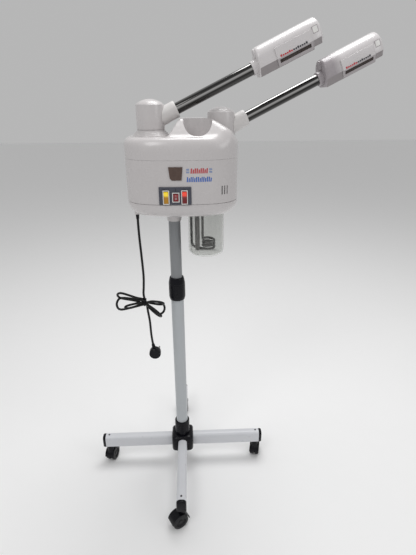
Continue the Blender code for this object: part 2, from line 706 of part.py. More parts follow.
def build_housing(unit, mats):
    place("top_cover", top_cover_mesh(), mats["white"], unit)
    place("middle_shell", middle_shell_mesh(), mats["white"], unit)
    place("bottom_tray", bottom_tray_mesh(), mats["white"], unit)
    flange_top = BODY_BOTTOM - GAP
    flange_low = flange_top - SOCKET_FLANGE
    bore = POST_HIGH_RADIUS + GAP
    socket = [(bore + 0.001, SOCKET_BOTTOM), (SOCKET_RADIUS, SOCKET_BOTTOM + 0.014),
              (SOCKET_RADIUS, flange_low), (SOCKET_FLANGE_RADIUS, flange_low),
              (SOCKET_FLANGE_RADIUS, flange_top), (SOCKET_RADIUS, flange_top),
              (SOCKET_RADIUS, SOCKET_TOP), (bore, SOCKET_TOP), (bore, SOCKET_BOTTOM)]
    place("post_socket", turned(socket), mats["white"], unit)
    panel = front_plate(PANEL_X, PANEL_Z, GAP, GAP + PANEL_THICKNESS)
    panel = carved(panel, [switch_space(i) for i in range(3)])
    place("control_panel", panel, mats["slate"], unit)
    window = front_plate(WINDOW_X, WINDOW_Z, GAP, GAP + PANEL_THICKNESS, taper=0.0025, chamfer=0.004)
    place("sight_window", window, mats["brown"], unit)
    for index, name in enumerate(SWITCH_NAMES):
        build_switch(unit, mats, index, name)


def build_switch(unit, mats, index, name):
    """Bezel with a switch body behind it, and the rocker on its pivot."""
    width, height = SWITCH_WIDTH[index], SWITCH_HEIGHT[index]
    x = SWITCH_X[index]
    lift = GAP + PANEL_THICKNESS + 2 * GAP
    pivot = empty("axis_rocker_" + name, unit, (x, front_y(x), SWITCH_Z), (0, 0, front_turn(x)))
    body_x = width / 2 - SWITCH_RIM / 2
    body_z = height / 2 - SWITCH_RIM / 2
    flange = block((-width / 2, -lift - SWITCH_FLANGE, -height / 2), (width / 2, -lift, height / 2))
    body = block((-body_x, -lift - SWITCH_FLANGE / 2, -body_z), (body_x, SWITCH_DEPTH, body_z))
    case = carved(flange, [body], "UNION")
    room_x = width / 2 - SWITCH_RIM
    room_z = height / 2 - SWITCH_RIM
    front = -lift - SWITCH_FLANGE
    room = block((-room_x, front - 0.01, -room_z), (room_x, SWITCH_DEPTH - 0.0015, room_z))
    case = carved(case, [room])
    place("switch_case_" + name, case, mats["bezel"], pivot)
    half = room_z - 0.0008
    front -= 0.0012
    outline = [(front, half), (front + 0.0016, 0.0), (front, -half),
               (front + ROCKER_DEPTH * 0.6, -half + 0.0006), (front + ROCKER_DEPTH, -half * 0.35),
               (front + ROCKER_DEPTH, half * 0.35), (front + ROCKER_DEPTH * 0.6, half - 0.0006)]
    rocker = extruded(outline, -room_x + 2 * GAP, room_x - 2 * GAP, axis="X")
    place("rocker_" + name, rocker, mats["rocker_" + name], pivot, rotation=(ROCKER_TILT, 0, 0))


# ------------------------------------------------------------------ jar and inner pieces
def jar_mesh():
    """Straight glass jar with a rounded lower edge and a bead at its open mouth."""
    r, w, c, lip = JAR_RADIUS, JAR_WALL, JAR_CORNER, JAR_LIP
    outer = [(0, JAR_BOTTOM)] + arc((r - c, JAR_BOTTOM + c), c, -90, 0, 4)
    outer += [(r, JAR_TOP - 4 * lip), (r + lip, JAR_TOP - 3 * lip), (r + lip, JAR_TOP - lip),
              (r, JAR_TOP), (r - w, JAR_TOP)]
    inner = arc((r - c, JAR_BOTTOM + c), c - w, 0, -90, 4) + [(0, JAR_BOTTOM + w)]
    return turned(outer + inner)


def coil_points(top):
    """Down the outer leg, across to the lowest turn, round the turns and up the inner leg."""
    outer, inner = COIL_LEG_X
    points = [Vector((outer, 0, top)), Vector((outer, 0, (top + COIL_LOW) / 2))]
    low = COIL_LOW
    for x, z in arc((outer + COIL_LEG_BEND, low + COIL_LEG_BEND), COIL_LEG_BEND, 180, 270, 5):
        points.append(Vector((x, 0.0, z)))
    start = math.radians(-110)
    points.append(Vector((COIL_X - COIL_RADIUS * 1.25, -COIL_RADIUS * 0.45, low)))
    steps = COIL_STEPS * COIL_TURNS - 1
    for i in range(steps + 1):
        angle = start + 2 * math.pi * i / COIL_STEPS
        rise = COIL_PITCH * i / COIL_STEPS
        x = COIL_X + COIL_RADIUS * math.cos(angle)
        points.append(Vector((x, COIL_RADIUS * math.sin(angle), low + rise)))
    end = points[-1]
    points.append(Vector((inner, end.y, end.z + COIL_RADIUS / 2)))
    points.append(Vector((inner, end.y, top)))
    return points


def round_bar(name, points, radius, mat, parent, resolution=2):
    """A round bar along a chain of points, with filled ends."""
    curve = bpy.data.curves.new(name, "CURVE")
    curve.dimensions = "3D"
    curve.bevel_depth = radius
    curve.bevel_resolution = resolution
    curve.use_fill_caps = True
    spline = curve.splines.new("POLY")
    spline.points.add(len(points) - 1)
    for item, point in zip(spline.points, points):
        item.co = (*point, 1.0)
    curve.materials.append(mat)
    bar = bpy.data.objects.new(name, curve)
    bpy.context.collection.objects.link(bar)
    bar.parent = parent
    return bar


def build_jar(unit, mats):
    ring_low = BODY_BOTTOM + WALL + JAR_RING_LIFT
    ring_inner = JAR_RADIUS + JAR_LIP + GAP
    ring = tube(ring_inner + JAR_RING_WALL, ring_inner, ring_low, ring_low + JAR_RING_HEIGHT)
    place("jar_ring", ring, mats["black"], unit, (JAR_X, 0, 0))
    slider = empty("axis_jar", unit, (JAR_X, 0, 0))
    place("jar", jar_mesh(), mats["glass"], slider)
    plate_low = heater_plate_low()
    plate = rod(ring_inner, plate_low, plate_low + HEATER_PLATE_THICKNESS)
    steam_way = rod(DUCT_RADIUS - DUCT_WALL, plate_low - 0.01, plate_low + 0.02, SMALL_SEGMENTS)
    plate = carved(plate, [moved(steam_way, (0, DUCT_FOOT_Y, 0))])
    place("heater_plate", plate, mats["steel"], unit, (JAR_X, 0, 0))
    round_bar("heater_coil", coil_points(plate_low - GAP), COIL_ROD_RADIUS, mats["chrome"], unit)
    level = tube(LEVEL_TUBE_RADIUS, LEVEL_TUBE_RADIUS - LEVEL_TUBE_WALL, LEVEL_TUBE_BOTTOM,
                 plate_low - GAP, SMALL_SEGMENTS)
    place("level_tube", level, mats["grey"], unit, (LEVEL_TUBE_X, LEVEL_TUBE_Y, 0))


def heater_plate_low():
    return BODY_BOTTOM + WALL + JAR_RING_LIFT + JAR_RING_HEIGHT + GAP


def build_inside(unit, mats):
    """Mist side: basin, transducer, fan and board.  Steam side: the duct up to its turret."""
    top = BASIN_BOTTOM + BASIN_HEIGHT
    r = BASIN_RADIUS
    basin = [(0, BASIN_BOTTOM), (r - 0.004, BASIN_BOTTOM), (r, top), (r - WALL, top),
             (r - WALL - 0.004, BASIN_BOTTOM + WALL), (0, BASIN_BOTTOM + WALL)]
    place("water_basin", turned(basin), mats["basin"], unit, (BASIN_X, 0, 0))
    low = BASIN_BOTTOM - GAP - TRANSDUCER_HEIGHT
    place("transducer", rod(TRANSDUCER_RADIUS, low, low + TRANSDUCER_HEIGHT, SMALL_SEGMENTS),
          mats["brass"], unit, (BASIN_X, 0, 0))
    build_fan(unit, mats)
    size = [v / 2 for v in BOARD_SIZE]
    place("circuit_board", block([-v for v in size], size), mats["board"], unit, BOARD_AT)
    build_duct(unit, mats)


def build_fan(unit, mats):
    """Square frame with two struts behind the rotor, and the bladed rotor on its own axis."""
    half = FAN_SIZE / 2
    throat = half - 0.002
    turn = (math.pi / 2, 0, 0)
    housing = block((-half, -FAN_THICKNESS / 2, -half), (half, FAN_THICKNESS / 2, half))
    housing = carved(housing, [moved(rod(throat, -FAN_THICKNESS, FAN_THICKNESS), rotation=turn)])
    strut = 0.0015
    back = FAN_THICKNESS / 2 - 0.0002
    struts = [block((-half + 0.001, back - 2 * strut, -strut), (half - 0.001, back, strut)),
              block((-strut, back - 2 * strut, -half + 0.001), (strut, back, half - 0.001))]
    place("fan_frame", carved(housing, struts, "UNION"), mats["black"], unit, (FAN_X, FAN_Y, FAN_Z))
    spin = empty("axis_fan", unit, (FAN_X, FAN_Y, FAN_Z))
    front = -FAN_THICKNESS / 2 + 0.001
    rear = back - 2 * strut - GAP
    hub = moved(rod(FAN_HUB_RADIUS, -rear, -front, SMALL_SEGMENTS), rotation=turn)
    blades = []
    for i in range(FAN_BLADES):
        blade = block((FAN_HUB_RADIUS * 0.6, -FAN_BLADE / 2, -FAN_CHORD / 2),
                      (throat - 0.0012, FAN_BLADE / 2, FAN_CHORD / 2))
        blade = moved(blade, (0, (front + rear) / 2, 0), (math.radians(35), 0, 0))
        blades.append(moved(blade, rotation=(0, 2 * math.pi * i / FAN_BLADES, 0)))
    place("fan_rotor", carved(hub, blades, "UNION"), mats["black"], spin)


def build_duct(unit, mats):
    """Soft tube from the heater plate's steam way up to the right turret."""
    low = heater_plate_low() + HEATER_PLATE_THICKNESS + GAP
    x, y, _, _, seat, _ = ARMS["right"]
    high = seat - RIGHT_SEAT_HEIGHT - 0.002
    foot = (JAR_X, DUCT_FOOT_Y)

    def ring(radius, z, share):
        centre = (foot[0] + (x - foot[0]) * share, foot[1] + (y - foot[1]) * share)
        last = 360 - 360 / SMALL_SEGMENTS
        return [(px, py, z) for px, py in arc(centre, radius, 0, last, SMALL_SEGMENTS - 1)]

    inner = DUCT_RADIUS - DUCT_WALL
    levels = [(low, 0.0), (low + 0.03, 0.0), (high - 0.03, 1.0), (high, 1.0)]
    rings = [ring(DUCT_RADIUS, z, share) for z, share in levels]
    rings += [ring(inner, z, share) for z, share in reversed(levels)]
    place("steam_duct", lofted(rings, cyclic=True), mats["silicone"], unit)


# ------------------------------------------------------------------ arms
def head_section(inset=0.0):
    """(y, z) outline of a head: arched top, straight sides, tapered keel."""
    points = arc((0, HEAD_ARCH_Z), HEAD_RADIUS - inset, 0, 180, 8)
    keel = HEAD_KEEL_HALF - inset * 0.8
    points += [(-HEAD_RADIUS + inset, HEAD_SIDE_LOW), (-keel, HEAD_KEEL_Z + inset),
               (keel, HEAD_KEEL_Z + inset), (HEAD_RADIUS - inset, HEAD_SIDE_LOW)]
    return points


def near_x(z):
    """X of the leaning near end of the head at a height, from the start of the head."""
    return (z - HEAD_KEEL_Z) * HEAD_RAKE


def head_rings(inset, end_wall):
    near = [(near_x(z) + end_wall, y, z) for y, z in head_section(inset)]
    far = [(HEAD_LENGTH - 0.004 - end_wall, y, z) for y, z in head_section(inset)]
    cap = [(HEAD_LENGTH - end_wall, y, z) for y, z in head_section(inset + 0.004)]
    return [near, far, cap]


def head_mesh():
    shell = lofted(head_rings(0.0, 0.0))
    hollow = lofted(head_rings(HEAD_WALL, HEAD_WALL))
    collar_low = -0.008
    collar = rod(HEAD_COLLAR_RADIUS, collar_low, collar_low + HEAD_COLLAR_LENGTH)
    collar = moved(collar, rotation=(0, math.pi / 2, 0))
    lean = math.atan(HEAD_RAKE)
    boss = turned([(0, -HEAD_WALL), (AROMA_RADIUS, -HEAD_WALL), (AROMA_RADIUS, AROMA_THICKNESS - 0.001),
                   (AROMA_RADIUS - 0.001, AROMA_THICKNESS), (0, AROMA_THICKNESS)], SMALL_SEGMENTS)
    boss = moved(boss, (near_x(AROMA_RISE), 0, AROMA_RISE), (0, -math.pi / 2 + lean, 0))
    shell = carved(shell, [collar, boss], "UNION")
    bore = moved(rod(TUBE_RADIUS + GAP, -0.02, HEAD_TUBE_IN + 0.004), rotation=(0, math.pi / 2, 0))
    return carved(shell, [hollow, bore, outlet_cutter()])


def outlet_cutter():
    """Box through the slanted lower side that faces the client."""
    middle = (0, -(HEAD_RADIUS + HEAD_KEEL_HALF) / 2, (HEAD_SIDE_LOW + HEAD_KEEL_Z) / 2)
    span = (HEAD_RADIUS - HEAD_KEEL_HALF) / math.cos(HEAD_SLANT)
    half = span / 2 - NOZZLE_BORDER
    box = block((NOZZLE_START + NOZZLE_BORDER, -0.010, -half), (NOZZLE_END - NOZZLE_BORDER, 0.010, half))
    return moved(box, middle, (math.pi / 2 - HEAD_SLANT, 0, 0))


def nozzle_mesh():
    """Bent plate over the head's side with the outlet through its lower half."""
    def line(offset):
        side = -HEAD_RADIUS - offset
        bend = HEAD_SIDE_LOW - offset * math.tan((math.pi / 2 - HEAD_SLANT) / 2)
        low_y = -HEAD_KEEL_HALF - math.sin(HEAD_SLANT) * offset - math.cos(HEAD_SLANT) * NOZZLE_SHORT
        low_z = HEAD_KEEL_Z - math.cos(HEAD_SLANT) * offset + math.sin(HEAD_SLANT) * NOZZLE_SHORT
        return [(side, NOZZLE_TOP), (side, bend), (low_y, low_z)]
    outline = line(GAP + NOZZLE_THICKNESS) + line(GAP)[::-1]
    plate = extruded(outline, NOZZLE_START, NOZZLE_END, axis="X")
    return carved(plate, [outlet_cutter()])


def turret_mesh(seat, rim, axis_z):
    """Hollow swivel cap: skirt into the cover, domed crown and a hole for the arm's tube."""
    radius, skirt, wall = TURRET_RADIUS, TURRET_SKIRT_RADIUS, WALL
    low = seat - TURRET_BELOW
    outer = [(skirt, low), (skirt, seat + GAP), (radius, seat + GAP),
             (radius, rim - TURRET_CROWN_EDGE), (radius - TURRET_CROWN_EDGE, rim)]
    for share in (0.7, 0.35):
        outer.append((radius * share, rim + TURRET_CROWN * (1 - share ** 2)))
    outer.append((0, rim + TURRET_CROWN))
    inner = [(0, rim + TURRET_CROWN - wall), (radius * 0.6, rim + TURRET_CROWN * 0.64 - wall),
             (radius - wall, rim - wall), (radius - wall, seat + wall),
             (skirt - wall, seat + wall), (skirt - wall, low)]
    return carved(turned(outer + inner), [along_arm(rod(TUBE_RADIUS + GAP, 0.0, 2 * radius), axis_z)])


def along_arm(mesh, axis_z):
    """Lays a piece made around Z along the arm's rising axis."""
    return moved(mesh, (0, 0, axis_z), (0, math.pi / 2 - ARM_ELEVATION, 0))


def build_arm(unit, mats, side):
    x, y, axis_z, rim, seat, azimuth = ARMS[side]
    turn = empty("axis_turret_" + side, unit, (x, y, 0), (0, 0, azimuth))
    arm = empty("axis_head_" + side, turn, (0, 0, axis_z), (0, -ARM_ELEVATION, 0))
    place("turret_" + side, turret_mesh(seat, rim, axis_z), mats["white"], turn)
    sleeve = along_arm(rod(SLEEVE_RADIUS, TURRET_RADIUS * 0.4, SLEEVE_END), axis_z)
    clear = rod(TURRET_RADIUS + GAP, seat - 0.05, rim + 0.05)
    bore = along_arm(rod(TUBE_RADIUS + GAP, 0.0, SLEEVE_END + 0.02), axis_z)
    place("sleeve_" + side, carved(sleeve, [clear, bore]), mats["white"], turn)
    pipe = tube(TUBE_RADIUS, TUBE_RADIUS - TUBE_WALL, TUBE_START, HEAD_START + HEAD_TUBE_IN)
    place("tube_" + side, moved(pipe, rotation=(0, math.pi / 2, 0)), mats["chrome"], arm)
    place("head_" + side, head_mesh(), mats["white"], arm, (HEAD_START, 0, 0))
    place("nozzle_" + side, nozzle_mesh(), mats["grey"], arm, (HEAD_START, 0, 0))


# ------------------------------------------------------------------ cord
def smooth_route(points, step):
    """Points every step or so along a smooth curve through hand-set points."""
    knots = [Vector(p) for p in points]
    knots = [knots[0] * 2 - knots[1]] + knots + [knots[-1] * 2 - knots[-2]]
    route = []
    for a, b, c, d in zip(knots, knots[1:], knots[2:], knots[3:]):
        count = max(1, round((c - b).length / step))
        for i in range(count):
            t = i / count
            route.append(0.5 * (2 * b + (c - a) * t + (2 * a - 5 * b + 4 * c - d) * t * t
                                + (3 * b - a - 3 * c + d) * t * t * t))
    route.append(knots[-2])
    return route


def on_bundle(along, side):
    """A point just off the bundle's long edge: side 1 above, -1 below."""
    x, y, z = BUNDLE_AT
    off = BUNDLE_HALF_HEIGHT + GAP + CORD_RADIUS * math.sin(BUNDLE_TILT)
    c, s = math.cos(BUNDLE_TILT), math.sin(BUNDLE_TILT)
    return Vector((x + along * c + side * off * s, y, z - along * s + side * off * c))


def build_cord(unit, mats):
    gland = turned([(0, GLAND_BOTTOM), (GLAND_RADIUS - 0.0018, GLAND_BOTTOM),
                    (GLAND_RADIUS, GLAND_BOTTOM + 0.010), (GLAND_RADIUS, GLAND_TOP),
                    (0, GLAND_TOP)], SMALL_SEGMENTS)
    place("cord_gland", gland, mats["black"], unit, (GLAND_X, GLAND_Y, 0))
    top = on_bundle(0.008, 1)
    upper = [(GLAND_X, GLAND_Y, GLAND_BOTTOM - GAP), (GLAND_X, GLAND_Y, 0.730),
             (-0.0820, -0.0215, 0.700), (-0.0800, -0.0240, 0.655), (-0.0785, -0.0265, 0.610),
             top + Vector((0, 0, 0.020)), top]
    round_bar("cord_upper", smooth_route(upper, 5 * CORD_RADIUS), CORD_RADIUS, mats["cord"], unit)
    half = BUNDLE_HALF_LENGTH - BUNDLE_HALF_HEIGHT
    outline = arc((half, 0), BUNDLE_HALF_HEIGHT, -90, 90, 8)
    outline += arc((-half, 0), BUNDLE_HALF_HEIGHT, 90, 270, 8)
    hank = extruded(outline, -BUNDLE_THICKNESS / 2, BUNDLE_THICKNESS / 2, axis="Y")
    place("cord_bundle", hank, mats["cord"], unit, BUNDLE_AT, (0, BUNDLE_TILT, 0))
    low = on_bundle(0.022, -1)
    x, y, z = PLUG_AT
    lower = [low, low - Vector((0, 0, 0.010)), (-0.0700, CORD_Y, 0.4700),
             (-0.0692, CORD_Y, 0.4450), (x - 0.0012, y, z + 0.010), (x, y, z + 2 * GAP)]
    round_bar("cord_lower", smooth_route(lower, 5 * CORD_RADIUS), CORD_RADIUS, mats["cord"], unit)
    place("cord_plug", plug_mesh(), mats["black"], unit, PLUG_AT, (0, -PLUG_TILT, 0))


def plug_mesh():
    """Side-entry plug: tapered relief from the cord, round body, two round pins to the rear."""
    relief = [(0, 0), (0.0040, 0), (0.0062, -PLUG_DROP * 0.6), (0.0062, -PLUG_DROP),
              (0, -PLUG_DROP)]
    half, edge = PLUG_DISC_HALF, 0.0015
    disc = turned([(0, -half), (PLUG_DISC_RADIUS - edge, -half), (PLUG_DISC_RADIUS, -half + edge),
                   (PLUG_DISC_RADIUS, half - edge), (PLUG_DISC_RADIUS - edge, half), (0, half)])
    tools = [moved(disc, (0, 0, -PLUG_DROP), (-math.pi / 2, 0, 0))]
    for side in (-1, 1):
        pin = turned([(0, 0), (PIN_RADIUS, 0), (PIN_RADIUS, half + PIN_LENGTH - 0.001),
                      (PIN_RADIUS - 0.001, half + PIN_LENGTH), (0, half + PIN_LENGTH)], SMALL_SEGMENTS)
        tools.append(moved(pin, (side * PIN_SPACING / 2, 0, -PLUG_DROP), (-math.pi / 2, 0, 0)))
    return carved(turned(relief, SMALL_SEGMENTS), tools, "UNION")


# ------------------------------------------------------------------ assembly
def materials():
    white = (0.80, 0.79, 0.77)
    return {
        "white": material("housing_white", white, 0.30),
        "leg": material("leg_white", (0.82, 0.82, 0.82), 0.35),
        "post": material("post_paint", (0.62, 0.64, 0.65), 0.40),
        "black": material("black_plastic", (0.015, 0.015, 0.018), 0.45),
        "rubber": material("wheel_black", (0.020, 0.020, 0.022), 0.60),
        "chrome": material("chrome", (0.75, 0.74, 0.73), 0.12, 1.0),
        "steel": material("steel", (0.60, 0.60, 0.60), 0.30, 1.0),
        "brass": material("brass", (0.70, 0.52, 0.22), 0.30, 1.0),
        "glass": material("jar_glass", (0.85, 0.90, 0.90), 0.03),
        "slate": material("panel_slate", (0.10, 0.12, 0.16), 0.45),
        "brown": material("smoked_window", (0.12, 0.06, 0.045), 0.20),
        "bezel": material("switch_white", (0.85, 0.85, 0.83), 0.30),
        "rocker_mist": material("rocker_amber", (0.60, 0.33, 0.02), 0.20),
        "rocker_power": material("rocker_red", (0.25, 0.01, 0.015), 0.20),
        "rocker_steam": material("rocker_orange", (0.45, 0.03, 0.01), 0.20),
        "grey": material("grey_plastic", (0.42, 0.41, 0.41), 0.40),
        "basin": material("basin_plastic", (0.70, 0.72, 0.74), 0.35),
        "board": material("board_green", (0.03, 0.18, 0.08), 0.50),
        "silicone": material("duct_silicone", (0.55, 0.50, 0.45), 0.60),
        "cord": material("cord_black", (0.012, 0.012, 0.012), 0.50),
    }


def centre_frame(frame):
    """Moves the frame so that the box of all pieces but the cord's stands on the origin."""
    bpy.context.view_layer.update()
    graph = bpy.context.evaluated_depsgraph_get()
    low = Vector((1e9, 1e9, 1e9))
    high = -low
    for item in bpy.data.objects:
        if item.type not in ("MESH", "CURVE") or item.name.startswith("cord_"):
            continue
        made = item.evaluated_get(graph)
        mesh = made.to_mesh()
        for vertex in mesh.vertices:
            point = item.matrix_world @ vertex.co
            low = Vector(map(min, low, point))
            high = Vector(map(max, high, point))
        made.to_mesh_clear()
    frame.location = (-(low.x + high.x) / 2, -(low.y + high.y) / 2, -low.z)
    bpy.context.view_layer.update()


def main():
    clear_scene()
    mats = materials()
    frame = empty("frame")
    build_stand(frame, mats)
    slide = empty("axis_post_slide", frame)
    high = SOCKET_TOP - 0.002
    inner = POST_HIGH_RADIUS - POST_HIGH_WALL
    post = tube(POST_HIGH_RADIUS, inner, high - POST_HIGH_LENGTH, high)
    place("upper_post", post, mats["post"], slide)
    unit = empty("axis_unit_turn", slide)
    build_housing(unit, mats)
    build_jar(unit, mats)
    build_inside(unit, mats)
    for side in ARMS:
        build_arm(unit, mats, side)
    build_cord(unit, mats)
    centre_frame(frame)


main()
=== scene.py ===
"""Looks of the two-arm facial steamer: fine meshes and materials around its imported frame.

Shapes are written around the post's axis (x = y = 0, floor at z = 0), as the part's source has
them, and ORIGIN moves them to where the frame's own nodes stand.
"""

import json
import math

import bmesh
import bpy
import numpy as np
from mathutils import Matrix, Vector


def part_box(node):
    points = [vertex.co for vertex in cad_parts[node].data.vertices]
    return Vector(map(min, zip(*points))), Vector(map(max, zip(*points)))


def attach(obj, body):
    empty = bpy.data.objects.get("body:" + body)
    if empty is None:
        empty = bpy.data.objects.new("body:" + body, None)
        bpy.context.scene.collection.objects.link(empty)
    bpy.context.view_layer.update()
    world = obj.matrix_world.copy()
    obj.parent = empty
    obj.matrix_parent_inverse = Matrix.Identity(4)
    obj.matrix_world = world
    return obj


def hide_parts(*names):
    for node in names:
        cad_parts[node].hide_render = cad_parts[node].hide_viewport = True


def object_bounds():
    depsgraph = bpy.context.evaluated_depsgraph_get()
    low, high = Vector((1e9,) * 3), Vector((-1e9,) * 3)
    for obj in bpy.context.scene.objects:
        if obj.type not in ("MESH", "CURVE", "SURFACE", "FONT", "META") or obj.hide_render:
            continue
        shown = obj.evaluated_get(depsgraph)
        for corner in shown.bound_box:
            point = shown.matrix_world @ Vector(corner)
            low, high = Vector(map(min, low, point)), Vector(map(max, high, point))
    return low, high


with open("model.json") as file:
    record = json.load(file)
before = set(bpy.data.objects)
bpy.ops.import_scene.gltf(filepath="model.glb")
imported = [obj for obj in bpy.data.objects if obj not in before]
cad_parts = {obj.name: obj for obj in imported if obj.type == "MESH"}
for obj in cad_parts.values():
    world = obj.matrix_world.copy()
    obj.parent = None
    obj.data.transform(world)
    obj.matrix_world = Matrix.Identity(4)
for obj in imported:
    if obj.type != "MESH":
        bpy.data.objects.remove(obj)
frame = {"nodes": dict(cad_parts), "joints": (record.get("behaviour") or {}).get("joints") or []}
CAD_BOX = [list(corner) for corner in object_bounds()]
JOINTS = {joint["name"]: joint for joint in frame["joints"]}

# ---- places, from the frame ----
POST_FOOT = 0.0503              # the lower post's end above the floor
post_low, post_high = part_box("lower_post")
ORIGIN = Vector(((post_low.x + post_high.x) / 2, (post_low.y + post_high.y) / 2, post_low.z - POST_FOOT))
HOME = Matrix.Translation(ORIGIN)

# ---- housing ----
BODY_X = 0.022
HALF_X = 0.1225
HALF_Y = 0.100
SQUARE = 3.0
BODY_LOW = 0.765
TRAY_FILLET = 0.030
SEAM_LOW = 0.7965
SEAM_HIGH = 0.8860
SEAM = 0.0005
SHELF = 0.9280
SHOULDER = 0.0138
WALL = 0.0025
AROUND = 160
DOME_TOP = 0.9630
WELL = (0.0573, -0.0500)
WELL_RADIUS = 0.0300
WELL_DEPTH = 0.042
LEFT_TURRET = (-0.0430, 0.0000, 0.9548, 0.9913, 0.9400)     # x, y, arm axis, rim, seat
RIGHT_TURRET = (0.1100, 0.0200, 0.9360, 0.9752, 0.9286)
TURRET_RADIUS = 0.0300
ARM_RISE = math.radians(25.2)
HEAD_START = 0.2485
HEAD_LENGTH = 0.1455
OUTLET = (0.0, -0.0232, -0.0109)      # middle of the outlet slot, on the head's slanted side
JAR_X = 0.0745
CORD_RADIUS = 0.0028
CORD_Y = -0.028


# ------------------------------------------------------------------ mesh tools
def mesh_of(name, bm, angle=32.0):
    bmesh.ops.remove_doubles(bm, verts=bm.verts, dist=1e-6)
    bmesh.ops.recalc_face_normals(bm, faces=bm.faces)
    mesh = bpy.data.meshes.new(name)
    bm.to_mesh(mesh)
    bm.free()
    mesh.shade_smooth()
    mesh.set_sharp_from_angle(angle=math.radians(angle))
    return mesh


def loft(name, rings, cyclic=False, angle=32.0):
    """A closed skin through rings of equal point counts."""
    bm = bmesh.new()
    loops = [[bm.verts.new(point) for point in ring] for ring in rings]
    pairs = list(zip(loops, loops[1:]))
    if cyclic:
        pairs.append((loops[-1], loops[0]))
    for low, high in pairs:
        for i in range(len(low)):
            j = (i + 1) % len(low)
            bm.faces.new((low[i], low[j], high[j], high[i]))
    if not cyclic:
        bm.faces.new(loops[0])
        bm.faces.new(loops[-1])
    return mesh_of(name, bm, angle)


def revolve(name, profile, segments=72, angle=32.0):
    """(radius, z) points turned around Z, closed from the last point to the first."""
    bm = bmesh.new()
    rings = []
    for radius, height in profile:
        if radius == 0:
            rings.append([bm.verts.new((0, 0, height))])
            continue
        turns = [2 * math.pi * i / segments for i in range(segments)]
        rings.append([bm.verts.new((radius * math.cos(t), radius * math.sin(t), height)) for t in turns])
    for low, high in zip(rings, rings[1:] + rings[:1]):
        if len(low) == 1 and len(high) == 1:
            continue
        for i in range(segments):
            j = (i + 1) % segments
            corners = [low[i % len(low)], low[j % len(low)], high[j % len(high)], high[i % len(high)]]
            bm.faces.new(list(dict.fromkeys(corners)))
    return mesh_of(name, bm, angle)


def arc(centre, radius, start, end, steps):
    points = []
    for i in range(steps + 1):
        turn = math.radians(start + (end - start) * i / steps)
        points.append((centre[0] + radius * math.cos(turn), centre[1] + radius * math.sin(turn)))
    return points


def rod(name, radius, low, high, segments=48):
    return revolve(name, [(0, low), (radius, low), (radius, high), (0, high)], segments)


def block(name, low, high, bevel=0.0, segments=3):
    bm = bmesh.new()
    bmesh.ops.create_cube(bm, size=1.0)
    bmesh.ops.scale(bm, vec=[b - a for a, b in zip(low, high)], verts=bm.verts)
    bmesh.ops.translate(bm, vec=[(a + b) / 2 for a, b in zip(low, high)], verts=bm.verts)
    if bevel:
        bmesh.ops.bevel(bm, geom=bm.edges[:], offset=bevel, segments=segments, affect="EDGES", profile=0.6)
    return mesh_of(name, bm)


def extrude(name, outline, low, high, axis="Z", angle=32.0):
    def point(pair, depth):
        if axis == "Z":
            return (pair[0], pair[1], depth)
        if axis == "Y":
            return (pair[0], depth, pair[1])
        return (depth, pair[0], pair[1])
    return loft(name, [[point(p, low) for p in outline], [point(p, high) for p in outline]], angle=angle)


def shifted(mesh, location=(0, 0, 0), rotation=(0, 0, 0)):
    turn = Matrix.Rotation(rotation[2], 4, "Z") @ Matrix.Rotation(rotation[1], 4, "Y")
    mesh.transform(Matrix.Translation(location) @ turn @ Matrix.Rotation(rotation[0], 4, "X"))
    return mesh


def cut(mesh, tools, operation="DIFFERENCE", angle=32.0):
    """The mesh with each tool mesh cut away, joined or kept in turn."""
    base = bpy.data.objects.new("base", mesh)
    bpy.context.scene.collection.objects.link(base)
    helpers = []
    for tool in tools:
        helper = bpy.data.objects.new("tool", tool)
        bpy.context.scene.collection.objects.link(helper)
        step = base.modifiers.new("step", "BOOLEAN")
        step.operation = operation
        step.solver = "EXACT"
        step.object = helper
        helpers.append(helper)
    bpy.context.view_layer.update()
    made = bpy.data.meshes.new_from_object(base.evaluated_get(bpy.context.evaluated_depsgraph_get()))
    for item in helpers + [base]:
        bpy.data.objects.remove(item, do_unlink=True)
    made.materials.clear()
    made.shade_smooth()
    made.set_sharp_from_angle(angle=math.radians(angle))
    return made


def piece(name, mesh, mat, body, replaces=(), place=HOME, bevel=0.0):
    """One visible piece: its mesh, material, the body it rides on and the nodes it stands for."""
    item = bpy.data.objects.new(name, mesh)
    bpy.context.scene.collection.objects.link(item)
    item.matrix_world = place
    if not mesh.materials:
        mesh.materials.append(mat)
    if bevel:
        edge = item.modifiers.new("edge", "BEVEL")
        edge.width = bevel
        edge.segments = 3
        edge.limit_method = "ANGLE"
        edge.angle_limit = math.radians(35)
        edge.harden_normals = True
    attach(item, body)
    if replaces:
        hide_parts(*replaces)
    return item


def paint(item, mat, chosen):
    """Gives the faces that chosen(centre) picks, in the mesh's own space, another material."""
    item.data.materials.append(mat)
    index = len(item.data.materials) - 1
    for face in item.data.polygons:
        if chosen(face.center, face.normal):
            face.material_index = index
    return item


